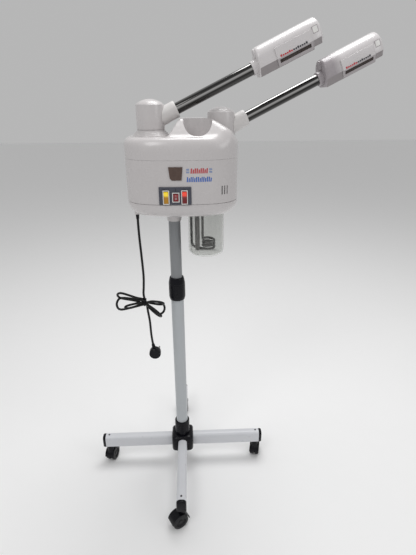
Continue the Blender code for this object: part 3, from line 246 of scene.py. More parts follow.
# ------------------------------------------------------------------ materials
def surface(name, colour, roughness, metallic=0.0, tint=None, tint_scale=18.0, grain=0.0, grain_scale=900.0,
            rough_range=0.06, wave=0.0, wave_scale=25.0, **sockets):
    """Principled material with soft colour change, uneven gloss and a fine moulded grain."""
    mat = bpy.data.materials.new(name)
    mat.use_nodes = True
    nodes, links = mat.node_tree.nodes, mat.node_tree.links
    shader = nodes["Principled BSDF"]
    shader.inputs["Metallic"].default_value = metallic
    for key, value in sockets.items():
        shader.inputs[key.replace("_", " ")].default_value = value
    where = nodes.new("ShaderNodeTexCoord")
    soft = nodes.new("ShaderNodeTexNoise")
    soft.inputs["Scale"].default_value = tint_scale
    soft.inputs["Detail"].default_value = 4.0
    links.new(where.outputs["Object"], soft.inputs["Vector"])
    mix = nodes.new("ShaderNodeMix")
    mix.data_type = "RGBA"
    other = tint or tuple(c * 0.93 for c in colour)
    mix.inputs["A"].default_value = (*colour, 1.0)
    mix.inputs["B"].default_value = (*other, 1.0)
    links.new(soft.outputs["Fac"], mix.inputs["Factor"])
    links.new(mix.outputs["Result"], shader.inputs["Base Color"])
    gloss = nodes.new("ShaderNodeMapRange")
    gloss.inputs["From Min"].default_value = 0.3
    gloss.inputs["From Max"].default_value = 0.7
    gloss.inputs["To Min"].default_value = max(roughness - rough_range, 0.02)
    gloss.inputs["To Max"].default_value = roughness + rough_range
    patch = nodes.new("ShaderNodeTexNoise")
    patch.inputs["Scale"].default_value = tint_scale * 3.1
    patch.inputs["Detail"].default_value = 6.0
    links.new(where.outputs["Object"], patch.inputs["Vector"])
    links.new(patch.outputs["Fac"], gloss.inputs["Value"])
    links.new(gloss.outputs["Result"], shader.inputs["Roughness"])
    normal = None
    for strength, scale, distance in ((wave, wave_scale, 0.002), (grain, grain_scale, 0.0003)):
        if not strength:
            continue
        relief = nodes.new("ShaderNodeTexNoise")
        relief.inputs["Scale"].default_value = scale
        relief.inputs["Detail"].default_value = 3.0
        links.new(where.outputs["Object"], relief.inputs["Vector"])
        bump = nodes.new("ShaderNodeBump")
        bump.inputs["Strength"].default_value = strength
        bump.inputs["Distance"].default_value = distance
        links.new(relief.outputs["Fac"], bump.inputs["Height"])
        if normal:
            links.new(normal, bump.inputs["Normal"])
        normal = bump.outputs["Normal"]
    if normal:
        links.new(normal, shader.inputs["Normal"])
    return mat


M = {
    "white": surface("housing_white", (0.60, 0.575, 0.575), 0.26, tint=(0.565, 0.54, 0.54), grain=0.02,
                     grain_scale=2200.0,
                     wave=0.015, Coat_Weight=0.25, Coat_Roughness=0.16),
    "stipple": surface("sleeve_white", (0.68, 0.66, 0.65), 0.42, grain=0.55, grain_scale=520.0),
    "head": surface("head_white", (0.68, 0.655, 0.66), 0.26, tint=(0.63, 0.605, 0.61), grain=0.015,
                    grain_scale=2200.0, Coat_Weight=0.2, Coat_Roughness=0.2),
    # Darker grey of the heads' undersides: partly their own grey, partly painted shade.
    "head_grey_and_shade": surface("head_grey_and_shade", (0.30, 0.275, 0.28), 0.38, grain=0.15),
    "leg": surface("leg_white", (0.68, 0.69, 0.72), 0.32, grain=0.12, grain_scale=700.0),
    "post_high": surface("post_grey", (0.255, 0.265, 0.275), 0.35, grain=0.12, grain_scale=700.0),
    "post_low": surface("post_pale", (0.50, 0.525, 0.545), 0.35, grain=0.12, grain_scale=700.0),
    "black": surface("black_plastic", (0.003, 0.003, 0.005), 0.26, tint=(0.006, 0.006, 0.009), grain=0.12,
                     grain_scale=650.0, Specular_IOR_Level=0.2),
    "wheel": surface("wheel_black", (0.006, 0.006, 0.008), 0.40, tint=(0.016, 0.016, 0.018), grain=0.2,
                     Specular_IOR_Level=0.3),
    "chrome": surface("chrome", (0.62, 0.61, 0.60), 0.09, 1.0, tint=(0.55, 0.54, 0.53), rough_range=0.03,
                      tint_scale=30.0),
    "steel": surface("steel", (0.55, 0.55, 0.54), 0.28, 1.0, grain=0.1),
    "brass": surface("brass", (0.70, 0.52, 0.22), 0.28, 1.0, grain=0.08),
    "slate": surface("panel_slate", (0.060, 0.064, 0.086), 0.45, tint=(0.075, 0.078, 0.10), grain=0.12),
    "brown": surface("smoked_window", (0.060, 0.030, 0.022), 0.16, tint=(0.105, 0.062, 0.046),
                     tint_scale=120.0,
                     Coat_Weight=0.6, Coat_Roughness=0.06),
    "bezel": surface("switch_white", (0.84, 0.83, 0.81), 0.26, grain=0.08),
    "grey": surface("grey_plastic", (0.25, 0.24, 0.235), 0.40, grain=0.12),
    "basin": surface("basin_plastic", (0.70, 0.72, 0.74), 0.35, grain=0.1),
    "board": surface("board_green", (0.03, 0.18, 0.08), 0.45, tint=(0.05, 0.25, 0.11), tint_scale=160.0),
    "silicone": surface("duct_silicone", (0.55, 0.50, 0.45), 0.55, grain=0.1),
    "cord": surface("cord_black", (0.005, 0.005, 0.006), 0.42, grain=0.2, grain_scale=500.0,
                    Specular_IOR_Level=0.3),
    "head_lip": surface("head_lip", (0.42, 0.39, 0.40), 0.34, grain=0.1),
    "outlet_slats_painted_shade": surface("outlet_painted_shade", (0.055, 0.040, 0.038), 0.45, tint=(0.09, 0.07, 0.065),
                         tint_scale=60.0),
    "print_red": surface("print_red", (0.52, 0.030, 0.045), 0.40),
    "print_blue": surface("print_blue", (0.008, 0.11, 0.48), 0.45),
    "print_pale": surface("print_pale_blue", (0.12, 0.22, 0.48), 0.45),
    "print_dark": surface("print_dark", (0.030, 0.030, 0.040), 0.40),
    "inner_painted_shade": surface("inner_painted_shade", (0.03, 0.027, 0.027), 0.6),
    "screw": surface("screw_dark", (0.05, 0.05, 0.05), 0.35, 0.8),
}


def glass_material():
    mat = surface("jar_glass", (0.80, 0.805, 0.79), 0.03, tint=(0.77, 0.78, 0.765), rough_range=0.01,
                  wave=0.03,
                  wave_scale=40.0, IOR=1.47, Transmission_Weight=1.0)
    return mat


def rocker_material(name, deep, lit, painted_glow):
    """Coloured rocker with painted light: its upper part turns to a lighter colour and glows faintly, a painted
    highlight for the light falling on its top.
    """
    mat = surface(name, deep, 0.14, Coat_Weight=0.5, Coat_Roughness=0.05)
    nodes, links = mat.node_tree.nodes, mat.node_tree.links
    shader = nodes["Principled BSDF"]
    where = nodes.new("ShaderNodeTexCoord")
    split = nodes.new("ShaderNodeSeparateXYZ")
    links.new(where.outputs["Object"], split.inputs["Vector"])
    height = nodes.new("ShaderNodeMapRange")
    height.inputs["From Min"].default_value = 0.0005
    height.inputs["From Max"].default_value = 0.0050
    links.new(split.outputs["Z"], height.inputs["Value"])
    mix = nodes.new("ShaderNodeMix")
    mix.data_type = "RGBA"
    mix.inputs["A"].default_value = (*deep, 1.0)
    mix.inputs["B"].default_value = (*lit, 1.0)
    links.new(height.outputs["Result"], mix.inputs["Factor"])
    links.new(mix.outputs["Result"], shader.inputs["Base Color"])
    links.new(mix.outputs["Result"], shader.inputs["Emission Color"])
    shader.inputs["Emission Strength"].default_value = painted_glow
    return mat


def chrome_with_painted_reflections():
    """Polished plate with painted reflections: its colour turns dark and light in bands round the tube, standing in
    for what a drawn tube reflects under a soft light.
    """
    mat = surface("chrome_tube_painted_reflections", (0.60, 0.59, 0.58), 0.10, 1.0, rough_range=0.02)
    nodes, links = mat.node_tree.nodes, mat.node_tree.links
    shader = nodes["Principled BSDF"]
    where = nodes.new("ShaderNodeTexCoord")
    split = nodes.new("ShaderNodeSeparateXYZ")
    links.new(where.outputs["Object"], split.inputs["Vector"])
    turn = nodes.new("ShaderNodeMath")
    turn.operation = "ARCTAN2"
    links.new(split.outputs["Y"], turn.inputs[0])
    links.new(split.outputs["Z"], turn.inputs[1])
    share = nodes.new("ShaderNodeMapRange")
    share.inputs["From Min"].default_value = -math.pi
    share.inputs["From Max"].default_value = math.pi
    links.new(turn.outputs["Value"], share.inputs["Value"])
    ramp = nodes.new("ShaderNodeValToRGB")
    # Painted reflections: dark and light tones of the colour, by angle round the tube.
    painted_reflection_tones = [(0.0, 0.16), (0.10, 0.10), (0.17, 0.05), (0.215, 0.035), (0.25, 0.50), (0.275, 0.62),
             (0.30, 0.10),
             (0.33, 0.05), (0.37, 0.06), (0.41, 0.26), (0.47, 0.34), (0.56, 0.30), (0.66, 0.10),
             (0.78, 0.45),
             (0.90, 0.12), (1.0, 0.16)]
    ramp.color_ramp.elements[0].position, ramp.color_ramp.elements[1].position = 0.0, 1.0
    for position, _ in painted_reflection_tones[1:-1]:
        ramp.color_ramp.elements.new(position)
    for element, (_, tone) in zip(ramp.color_ramp.elements, painted_reflection_tones):
        element.color = (tone, tone * 0.985, tone * 0.97, 1.0)
    links.new(share.outputs["Result"], ramp.inputs["Fac"])
    links.new(ramp.outputs["Color"], shader.inputs["Base Color"])
    return mat


def painted_shade_along_x(name, like, colour, start, end):
    """A copy of a material with painted shade: it turns to another colour along its object's X."""
    mat = M[like].copy()
    mat.name = name
    nodes, links = mat.node_tree.nodes, mat.node_tree.links
    shader = nodes["Principled BSDF"]
    before = shader.inputs["Base Color"].links[0].from_socket
    where = nodes.new("ShaderNodeTexCoord")
    split = nodes.new("ShaderNodeSeparateXYZ")
    links.new(where.outputs["Object"], split.inputs["Vector"])
    share = nodes.new("ShaderNodeMapRange")
    share.inputs["From Min"].default_value = start
    share.inputs["From Max"].default_value = end
    links.new(split.outputs["X"], share.inputs["Value"])
    mix = nodes.new("ShaderNodeMix")
    mix.data_type = "RGBA"
    mix.inputs["A"].default_value = (*colour, 1.0)
    links.new(before, mix.inputs["B"])
    links.new(share.outputs["Result"], mix.inputs["Factor"])
    links.new(mix.outputs["Result"], shader.inputs["Base Color"])
    return mat


# The right head's near end is painted darker: painted shade.
M["head_painted_shade"] = painted_shade_along_x("head_painted_shade", "head", (0.36, 0.33, 0.345), 0.026, 0.050)
# The pipes take chrome with reflections painted into its colour.
M["tube"] = chrome_with_painted_reflections()
M["coil"] = surface("coil_chrome", (0.20, 0.195, 0.19), 0.16, 1.0, tint=(0.10, 0.10, 0.10), tint_scale=90.0)
M["glass"] = glass_material()
# The lit colours and glow of the rockers paint the highlight on their upper parts.
M["rocker_mist"] = rocker_material("rocker_amber", (0.36, 0.17, 0.005), (0.90, 0.66, 0.02), 0.25)
M["rocker_power"] = rocker_material("rocker_red", (0.20, 0.008, 0.012), (0.26, 0.010, 0.016), 0.05)
M["rocker_steam"] = rocker_material("rocker_orange", (0.13, 0.004, 0.006), (0.85, 0.05, 0.02), 0.25)


# ------------------------------------------------------------------ camera and cord
CAMERA_AT = (0.0427, -0.9468, 0.9863)
CAMERA_YAW = math.radians(-2.15)
CAMERA_PITCH = math.radians(22.69)
CAMERA_ROLL = math.radians(-0.40)
FOCAL_PX = 410.0
IMAGE_HEIGHT = 555.0


def add_camera():
    lens = bpy.data.cameras.new("camera")
    lens.sensor_fit = "VERTICAL"
    lens.sensor_height = 36.0
    lens.lens = 36.0 * FOCAL_PX / IMAGE_HEIGHT
    lens.clip_start = 0.02
    camera = bpy.data.objects.new("camera", lens)
    bpy.context.scene.collection.objects.link(camera)
    ahead = Vector((-math.sin(CAMERA_YAW) * math.cos(CAMERA_PITCH),
                    math.cos(CAMERA_YAW) * math.cos(CAMERA_PITCH), -math.sin(CAMERA_PITCH)))
    right = Vector((math.cos(CAMERA_YAW), math.sin(CAMERA_YAW), 0.0))
    up = right.cross(ahead)
    level = math.cos(CAMERA_ROLL) * right + math.sin(CAMERA_ROLL) * up
    upright = math.cos(CAMERA_ROLL) * up - math.sin(CAMERA_ROLL) * right
    turn = Matrix((level, upright, -ahead)).transposed().to_4x4()
    camera.matrix_world = Matrix.Translation(ORIGIN + Vector(CAMERA_AT)) @ turn
    bpy.context.scene.camera = camera


def smooth_route(points, step):
    knots = [Vector(p) for p in points]
    knots = [knots[0] * 2 - knots[1]] + knots + [knots[-1] * 2 - knots[-2]]
    route = []
    for a, b, c, d in zip(knots, knots[1:], knots[2:], knots[3:]):
        count = max(1, round((c - b).length / step))
        for i in range(count):
            t = i / count
            route.append(0.5 * (2 * b + (c - a) * t + (2 * a - 5 * b + 4 * c - d) * t * t
                                + (3 * b - a - 3 * c + d) * t * t * t))
    route.append(knots[-2])
    return route


GLAND = (-0.0830, -0.0200)
GLAND_LOW = 0.7480
TIE = Vector((-0.0790, CORD_Y, 0.5395))
FOLD_RADIUS = 0.0160
# direction in the x-z plane (degrees), reach from the tie, turn of the loop about its own length
LOOPS = [(-47.0, 0.0540, 56.0), (182.0, 0.0700, 48.0), (-27.0, 0.0520, -50.0), (197.0, 0.0520, -52.0),
         (-8.0, 0.0460, 52.0), (163.0, 0.0700, -40.0)]


def bundle_seat(index):
    """Where a strand crosses the tie: one in the middle and six around it."""
    if index == 0:
        return Vector((0, 0, 0))
    turn = math.radians(60.0 * index + 15.0)
    reach = 2.08 * CORD_RADIUS
    return Vector((0, reach * math.cos(turn), reach * math.sin(turn)))


def cord_points():
    """Out of the gland, down to the tie, through six loops and on to the plug."""
    plug = Vector(PLUG_AT)
    points = [Vector((*GLAND, GLAND_LOW - 0.0003)), Vector((*GLAND, 0.730)),
              Vector((-0.0822, -0.0212, 0.700)),
              Vector((-0.0800, -0.0240, 0.655)), Vector((-0.0785, -0.0258, 0.610)),
              Vector((-0.0800, -0.0262, 0.580)), Vector((-0.0815, -0.0270, 0.561))]
    order = [1, 4, 2, 5, 0, 3, 6]
    for k, (heading, reach, roll) in enumerate(LOOPS):
        turn = math.radians(heading)
        along = Vector((math.cos(turn), 0, math.sin(turn)))
        aside = Vector((0, 1, 0)).cross(along) * math.cos(math.radians(roll))
        aside += Vector((0, math.sin(math.radians(roll)), 0))
        side = 1 if heading < 90 else -1
        points.append(TIE + bundle_seat(order[k]))
        body = reach - FOLD_RADIUS
        depth = Vector((0, (k - 2.5) * 0.0012, 0))
        points.append(TIE + depth + along * body * 0.45 + aside * side * FOLD_RADIUS * 0.62)
        for degrees in (75, 25, -25, -75):
            swing = math.radians(degrees)
            spot = along * (body + FOLD_RADIUS * math.cos(swing))
            spot += aside * side * FOLD_RADIUS * math.sin(swing)
            points.append(TIE + depth + spot)
        points.append(TIE + depth + along * body * 0.45 - aside * side * FOLD_RADIUS * 0.62)
    points.append(TIE + bundle_seat(order[6]))
    points += [Vector((-0.0735, CORD_Y, 0.5130)), Vector((-0.0705, CORD_Y, 0.4850)),
               Vector((-0.0693, CORD_Y, 0.4500)), plug + Vector((-0.0012, 0, 0.0100)),
               plug + Vector((0, 0, 0.0006))]
    return points


PLUG_AT = (-0.0665, CORD_Y, 0.4190)
PLUG_TILT = math.radians(9.0)
PLUG_DROP = 0.0270


def build_cord():
    route = [ORIGIN + point for point in smooth_route(cord_points(), 0.0045)]
    curve = bpy.data.curves.new("mains_cord", "CURVE")
    curve.dimensions = "3D"
    curve.bevel_depth = CORD_RADIUS
    curve.bevel_resolution = 5
    curve.use_fill_caps = True
    spline = curve.splines.new("POLY")
    spline.points.add(len(route) - 1)
    for item, point in zip(spline.points, route):
        item.co = (*point, 1.0)
    curve.materials.append(M["cord"])
    cord = bpy.data.objects.new("mains_cord", curve)
    bpy.context.scene.collection.objects.link(cord)
    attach(cord, "housing")
    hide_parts("cord_upper", "cord_bundle", "cord_lower")

    band = revolve("cord_tie", [(0.0090, -0.0022), (0.0100, -0.0018), (0.0102, 0), (0.0100, 0.0018),
                                (0.0090, 0.0022), (0.0086, 0)], 32)
    tie = piece("cord_tie", band, M["black"], "housing",
                place=HOME @ Matrix.Translation(TIE) @ Matrix.Rotation(math.radians(100), 4, "Y"))
    relief = [(0, 0), (0.0036, 0), (0.0042, -0.003)]
    for i in range(4):
        z = -0.004 - 0.0042 * i
        radius = 0.0044 + 0.0005 * i
        relief += [(radius, z), (radius, z - 0.0026), (radius - 0.0009, z - 0.0029),
                   (radius - 0.0009, z - 0.0038)]
    relief += [(0.0066, -0.0215), (0.0070, -PLUG_DROP), (0, -PLUG_DROP)]
    disc = revolve("disc", [(0, -0.0085), (0.0105, -0.0085), (0.0112, -0.0079), (0.0122, -0.0079),
                            (0.0135, -0.0080), (0.0148, -0.0068), (0.0150, -0.0050), (0.0150, 0.0050),
                            (0.0145, 0.0078), (0.0135, 0.0085), (0, 0.0085)], 72)
    pins = []
    for side in (-1, 1):
        pin = revolve("pin", [(0, 0), (0.0024, 0), (0.0024, 0.0255), (0.0019, 0.0270), (0.0010, 0.0275),
                              (0, 0.0275)], 32)
        pins.append(shifted(pin, (side * 0.0095, 0, -PLUG_DROP), (-math.pi / 2, 0, 0)))
    body = cut(revolve("plug_body", relief, 48), [shifted(disc, (0, 0, -PLUG_DROP), (-math.pi / 2, 0, 0))],
               "UNION")
    body = cut(body, pins, "UNION")
    place = HOME @ Matrix.Translation(PLUG_AT) @ Matrix.Rotation(-PLUG_TILT, 4, "Y")
    plug = piece("plug", body, M["black"], "housing", ["cord_plug"], place)
    paint(plug, M["steel"], lambda at,
          normal: at.y > 0.0090 and math.hypot(abs(at.x) - 0.0095, at.z + PLUG_DROP) < 0.0026)
    gland = [(0, GLAND_LOW), (0.0033, GLAND_LOW), (0.0036, GLAND_LOW + 0.001), (0.0038, GLAND_LOW + 0.006)]
    gland += [(0.0042, GLAND_LOW + 0.0115), (0.0061, GLAND_LOW + 0.0118), (0.0062, GLAND_LOW + 0.013),
              (0.0062, 0.785), (0, 0.785)]
    gland = piece("gland", revolve("gland", gland, 40), M["white"], "housing",
                  ["cord_gland"],
                  HOME @ Matrix.Translation((*GLAND, 0)))
    paint(gland, M["black"], lambda at, normal: at.z < 0.7590)


# ------------------------------------------------------------------ housing
def outline(inset=0.0, count=AROUND):
    ring = []
    for i in range(count):
        turn = 2 * math.pi * i / count
        c, s = math.cos(turn), math.sin(turn)
        x = math.copysign(abs(c) ** (2 / SQUARE), c) * (HALF_X - inset)
        y = math.copysign(abs(s) ** (2 / SQUARE), s) * (HALF_Y - inset)
        ring.append((BODY_X + x, y))
    return ring


def front_y(x, outset=0.0):
    share = min(abs((x - BODY_X) / (HALF_X + outset)), 1.0)
    return -(HALF_Y + outset) * (1 - share ** SQUARE) ** (1 / SQUARE)


def front_turn(x):
    return math.atan2(front_y(x + 0.001) - front_y(x - 0.001), 0.002)


def soft_min(a, b, k):
    h = np.maximum(k - np.abs(a - b), 0.0) / k
    return np.minimum(a, b) - h * h * k / 4


def soft_max(a, b, k):
    return -soft_min(-a, -b, k)


def step_up(value, width):
    t = np.clip(value / width, 0.0, 1.0)
    return t * t * (3 - 2 * t)


def cover_top(x, y):
    """Height of the cover above its shelf: the dome's slopes run softly into each other."""
    left = DOME_TOP + (x - 0.0196) * 1.42
    right = DOME_TOP - (x - 0.0878) * (0.0280 / 0.0462)
    edge = 0.9350 - (x - 0.1340) * (0.0250 / 0.0105)
    front = DOME_TOP + (y + 0.0485) * 1.08
    back = DOME_TOP - (y - 0.0600) * (0.0350 / 0.0320)
    dome = soft_min(np.full_like(x, DOME_TOP), left, 0.004)
    dome = soft_min(dome, front, 0.006)
    dome = soft_min(dome, back, 0.010)
    dome = soft_min(dome, soft_min(right, edge, 0.016), 0.010)
    terrace = step_up(x - 0.0735, 0.006) * step_up(y + 0.0250, 0.006)
    dome = dome * (1 - terrace) + np.minimum(dome, SHELF) * terrace
    return soft_max(dome, np.full_like(x, SHELF), 0.008)


def cover_rings(inset, drop, steps, inner_steps, low):
    """Rings of the cover's skin from its lower edge over the rounded shoulder to the middle."""
    rings = [[(x, y, low) for x, y in outline(inset)]]
    turns = [2 * math.pi * i / AROUND for i in range(AROUND)]
    tall = np.array([0.014 + 0.016 * abs(math.sin(t)) ** 2 for t in turns])
    for i in range(steps + 1):
        swing = math.pi / 2 * i / steps
        pull = SHOULDER * (1 - math.cos(swing))
        flat = np.array(outline(inset + pull))
        height = cover_top(flat[:, 0], flat[:, 1]) - drop - tall * (1 - math.sin(swing))
        rings.append([(x, y, max(z, low + 0.001)) for (x, y), z in zip(flat, height)])
    edge = np.array(outline(inset + SHOULDER))
    middle = np.array([BODY_X, 0.0])
    for i in range(1, inner_steps):
        flat = middle + (edge - middle) * (1 - i / inner_steps)
        height = cover_top(flat[:, 0], flat[:, 1]) - drop
        rings.append([(x, y, z) for (x, y), z in zip(flat, height)])
    return rings


def build_cover():
    low = SEAM_HIGH + 0.0001
    skin = cover_rings(0.0, 0.0, 12, 64, low + 0.0005)
    skin.insert(0, [(x, y, low) for x, y in outline(0.0003)])
    outer = loft("outer", skin)
    inner = loft("inner", cover_rings(WALL, WALL, 6, 32, SEAM_HIGH - 0.010))
    x, y, _, _, seat = LEFT_TURRET
    profile = [(0, SHELF - 0.002), (0.0410, SHELF - 0.002), (0.0402, SHELF + 0.0004),
               (0.0390, SHELF + 0.0022),
               (0.0376, SHELF + 0.0034), (0.0366, SHELF + 0.0040), (0.0360, SHELF + 0.0052),
               (0.0350, SHELF + 0.0064), (0.0338, SHELF + 0.0070), (0.0330, SHELF + 0.0076),
               (0.0324, SHELF + 0.0090), (0.0312, SHELF + 0.0098), (0.0302, SHELF + 0.0102),
               (TURRET_RADIUS, seat), (0, seat)]
    pedestal = shifted(revolve("pedestal", profile, 96), (x, y, 0))
    rx, ry, _, _, right_seat = RIGHT_TURRET
    seat_disc = shifted(rod("seat", 0.0320, right_seat - 0.006, right_seat, 96), (rx, ry, 0))
    outer = cut(outer, [pedestal, seat_disc], "UNION")
    floor = DOME_TOP - WELL_DEPTH
    cup = shifted(rod("cup", WELL_RADIUS + WALL, floor - WALL, DOME_TOP + 0.01, 96), (*WELL, 0))
    inner = cut(inner, [cup])
    bore = shifted(revolve("bore", [(0, floor), (WELL_RADIUS - 0.003, floor),
                                    (WELL_RADIUS - 0.0009, floor + 0.0009),
                                    (WELL_RADIUS, floor + 0.003), (WELL_RADIUS, DOME_TOP + 0.02),
                                    (0, DOME_TOP + 0.02)], 96), (*WELL, 0))
    holes = [inner, bore]
    for tx, ty, _, _, level in (LEFT_TURRET, RIGHT_TURRET):
        holes.append(shifted(rod("way", 0.0236, level - 0.05, level + 0.05, 72), (tx, ty, 0)))
    cover = piece("cover", cut(outer, holes, angle=28.0), M["white"], "housing",
                  ["top_cover"])
    lip = cover.modifiers.new("lip", "BEVEL")
    lip.width = 0.0010
    lip.segments = 3
    lip.limit_method = "ANGLE"
    lip.angle_limit = math.radians(50)
    lip.loop_slide = False


def slot_cutter(x, z, width, height, deep=0.012):
    half = height / 2 - width / 2
    ends = arc((0, half), width / 2, 0, 180, 8) + arc((0, -half), width / 2, 180, 360, 8)
    tool = extrude("slot", ends, -deep, deep, "Y")
    return shifted(tool, (x, front_y(x), z), (0, 0, front_turn(x)))


def build_middle():
    low, high = SEAM_LOW + SEAM / 2, SEAM_HIGH - 0.0001

    def ring(z, inset):
        return [(x, y, z) for x, y in outline(inset)]
    shell = loft("middle", [ring(low, 0.0008), ring(low + 0.0008, 0), ring(high - 0.0003, 0),
                            ring(high, 0.0003), ring(high, WALL), ring(low, WALL)], cyclic=True)
    tools = [slot_cutter(0.1115 + (i - 1) * 0.0055, 0.8240, 0.0028, 0.0185) for i in range(3)]
    for x, width, height in SWITCHES.values():
        hole = block("hole", (-width / 2 + 0.0005, -0.012, -height / 2 + 0.0005),
                     (width / 2 - 0.0005, 0.03, height / 2 - 0.0005))
        tools.append(shifted(hole, (x, front_y(x), SWITCH_Z), (0, 0, front_turn(x))))
    tools.append(block("window", (-0.0013, -0.12, 0.850), (0.0216, -0.085, 0.8706)))
    item = piece("middle_body", cut(shell, tools), M["white"], "housing", ["middle_shell"])

    # Faces of the shell's inner wall are painted near black: painted shade behind the vent slots and openings.
    def inside(at, normal):
        reach = (abs(at.x - BODY_X) / (HALF_X - WALL * 0.8)) ** SQUARE + (abs(at.y) / (HALF_Y - WALL * 0.8)) ** SQUARE
        return reach < 1
    paint(item, M["inner_painted_shade"], inside)


def build_tray():
    def ring(z, inset):
        return [(x, y, z) for x, y in outline(inset)]

    def profile(inset, lift, steps):
        rings = []
        for i in range(steps + 1):
            swing = math.pi / 2 * i / steps
            pull = TRAY_FILLET * (1 - math.sin(swing))
            rise = TRAY_FILLET * (1 - math.cos(swing))
            rings.append(ring(BODY_LOW + rise + lift * math.cos(swing), pull + inset))
        return rings
    high = SEAM_LOW - SEAM / 2
    outer = profile(0.0, 0.0, 14) + [ring(high - 0.0008, 0.0), ring(high, 0.0008)]
    inner = profile(WALL, WALL, 6) + [ring(high, WALL)]
    shell = loft("tray", outer + inner[::-1])
    tools = [rod("post_way", 0.0190, BODY_LOW - 0.01, BODY_LOW + 0.02, 64),
             shifted(rod("jar_way", 0.0438, BODY_LOW - 0.01, BODY_LOW + 0.02, 96), (JAR_X, 0, 0)),
             shifted(rod("gland_way", 0.0066, BODY_LOW - 0.02, BODY_LOW + 0.06, 32), (*GLAND, 0))]
    piece("tray", cut(shell, tools), M["white"], "housing", ["bottom_tray"])
    bore = 0.0143
    socket = [(0.0155, 0.7390), (0.0163, 0.7392), (0.0183, 0.7515), (0.0185, 0.7530), (0.0185, 0.7600),
              (0.0245, 0.7617), (0.0258, 0.7625), (0.0260, 0.7645), (0.0185, 0.7647), (0.0185, 0.790),
              (bore, 0.790), (bore, 0.7390)]
    piece("socket", revolve("socket", socket, 96), M["white"], "housing", ["post_socket"])


# ------------------------------------------------------------------ front
SWITCH_Z = 0.8130
SWITCHES = {"mist": (-0.0105, 0.0135, 0.0290), "power": (0.0094, 0.0150, 0.0200),
            "steam": (0.0273, 0.0135, 0.0290)}
PANEL_LIFT = 0.0003
PANEL_THICK = 0.0015


def front_patch(name, x0, x1, z0, z1, low, high, slant=0.0, columns=None, bottom=None):
    """A thin patch bent to the housing's front; slant leans it, bottom(share) narrows or lifts it."""
    columns = columns or max(2, int((x1 - x0) / 0.0015))
    bm = bmesh.new()
    rows = []
    for i in range(columns + 1):
        share = i / columns
        top_x = x0 + (x1 - x0) * share + slant
        low_x, low_z = x0 + (x1 - x0) * share, z0
        if bottom:
            low_x, low_z = bottom(share)
        rows.append([bm.verts.new((low_x, front_y(low_x, low), low_z)),
                     bm.verts.new((top_x, front_y(top_x, low), z1)),
                     bm.verts.new((top_x, front_y(top_x, high), z1)),
                     bm.verts.new((low_x, front_y(low_x, high), low_z))])
    for a, b in zip(rows, rows[1:]):
        for k in range(4):
            m = (k + 1) % 4
            bm.faces.new((a[k], a[m], b[m], b[k]))
    bm.faces.new(rows[0])
    bm.faces.new(rows[-1])
    return mesh_of(name, bm)


def join(name, meshes):
    bm = bmesh.new()
    for mesh in meshes:
        bm.from_mesh(mesh)
    made = bpy.data.meshes.new(name)
    bm.to_mesh(made)
    bm.free()
    made.shade_smooth()
    made.set_sharp_from_angle(angle=math.radians(32))
    return made


def build_front():
    panel = front_patch("panel", -0.0255, 0.0415, 0.7975, 0.8340, PANEL_LIFT, PANEL_LIFT + PANEL_THICK)
    holes = []
    for x, width, height in SWITCHES.values():
        hole = block("hole", (-width / 2 + 0.0005, -0.012, -height / 2 + 0.0005),
                     (width / 2 - 0.0005, 0.03, height / 2 - 0.0005))
        holes.append(shifted(hole, (x, front_y(x), SWITCH_Z), (0, 0, front_turn(x))))
    piece("panel", cut(panel, holes), M["slate"], "housing", ["control_panel"], bevel=0.0004)

    def narrowed(share):
        x = -0.0043 + 0.0025 + (0.0289 - 0.0050) * share
        return x, 0.8470 + max(0.0040 - (x + 0.0018), 0.0)
    window = front_patch("window", -0.0043, 0.0246, 0.8470, 0.8736, 0.0003, 0.0018, columns=24,
                         bottom=narrowed)
    piece("window", window, M["brown"], "housing", ["sight_window"], bevel=0.0005)

    on = PANEL_LIFT + PANEL_THICK
    marks = [front_patch("m", 0.0086, 0.0098, 0.8250, 0.8310, on - 0.0002, on + 0.0002)]
    for x in (-0.0190, -0.0165, -0.0140, 0.0245, 0.0275, 0.0345, 0.0370):
        marks.append(front_patch("m", x, x + 0.0016, 0.8292, 0.8304, on - 0.0002, on + 0.0002, 0.0003))
    piece("panel_marks", join("panel_marks", marks), M["print_dark"], "housing")

    rows = [("print_top", "print_red", 0.0405, 0.0765, 9, 0.8605, 0.8705, 0.0026),
            ("print_low", "print_blue", 0.0325, 0.0845, 14, 0.8435, 0.8535, 0.0022)]
    for name, mat, x0, x1, count, z0, z1, width in rows:
        pitch = (x1 - x0) / count
        bars = []
        for i in range(count):
            short = 0.0022 if i % 3 == 1 else 0.0
            x = x0 + i * pitch
            bars.append(front_patch("bar", x, x + width, z0, z1 - short, -0.0002, 0.0002, 0.0009))
        piece(name, join(name, bars), M[mat], "housing")
    ends = []
    for x0 in (0.0322, 0.0790):
        for i in range(3):
            for z in (0.8612, 0.8664):
                ends.append(front_patch("end", x0 + i * 0.0021, x0 + i * 0.0021 + 0.0013, z, z + 0.0036,
                                        -0.0002, 0.0002))
    piece("print_ends", join("print_ends", ends), M["print_pale"], "housing")
    for name, values in SWITCHES.items():
        build_switch(name, *values[1:])


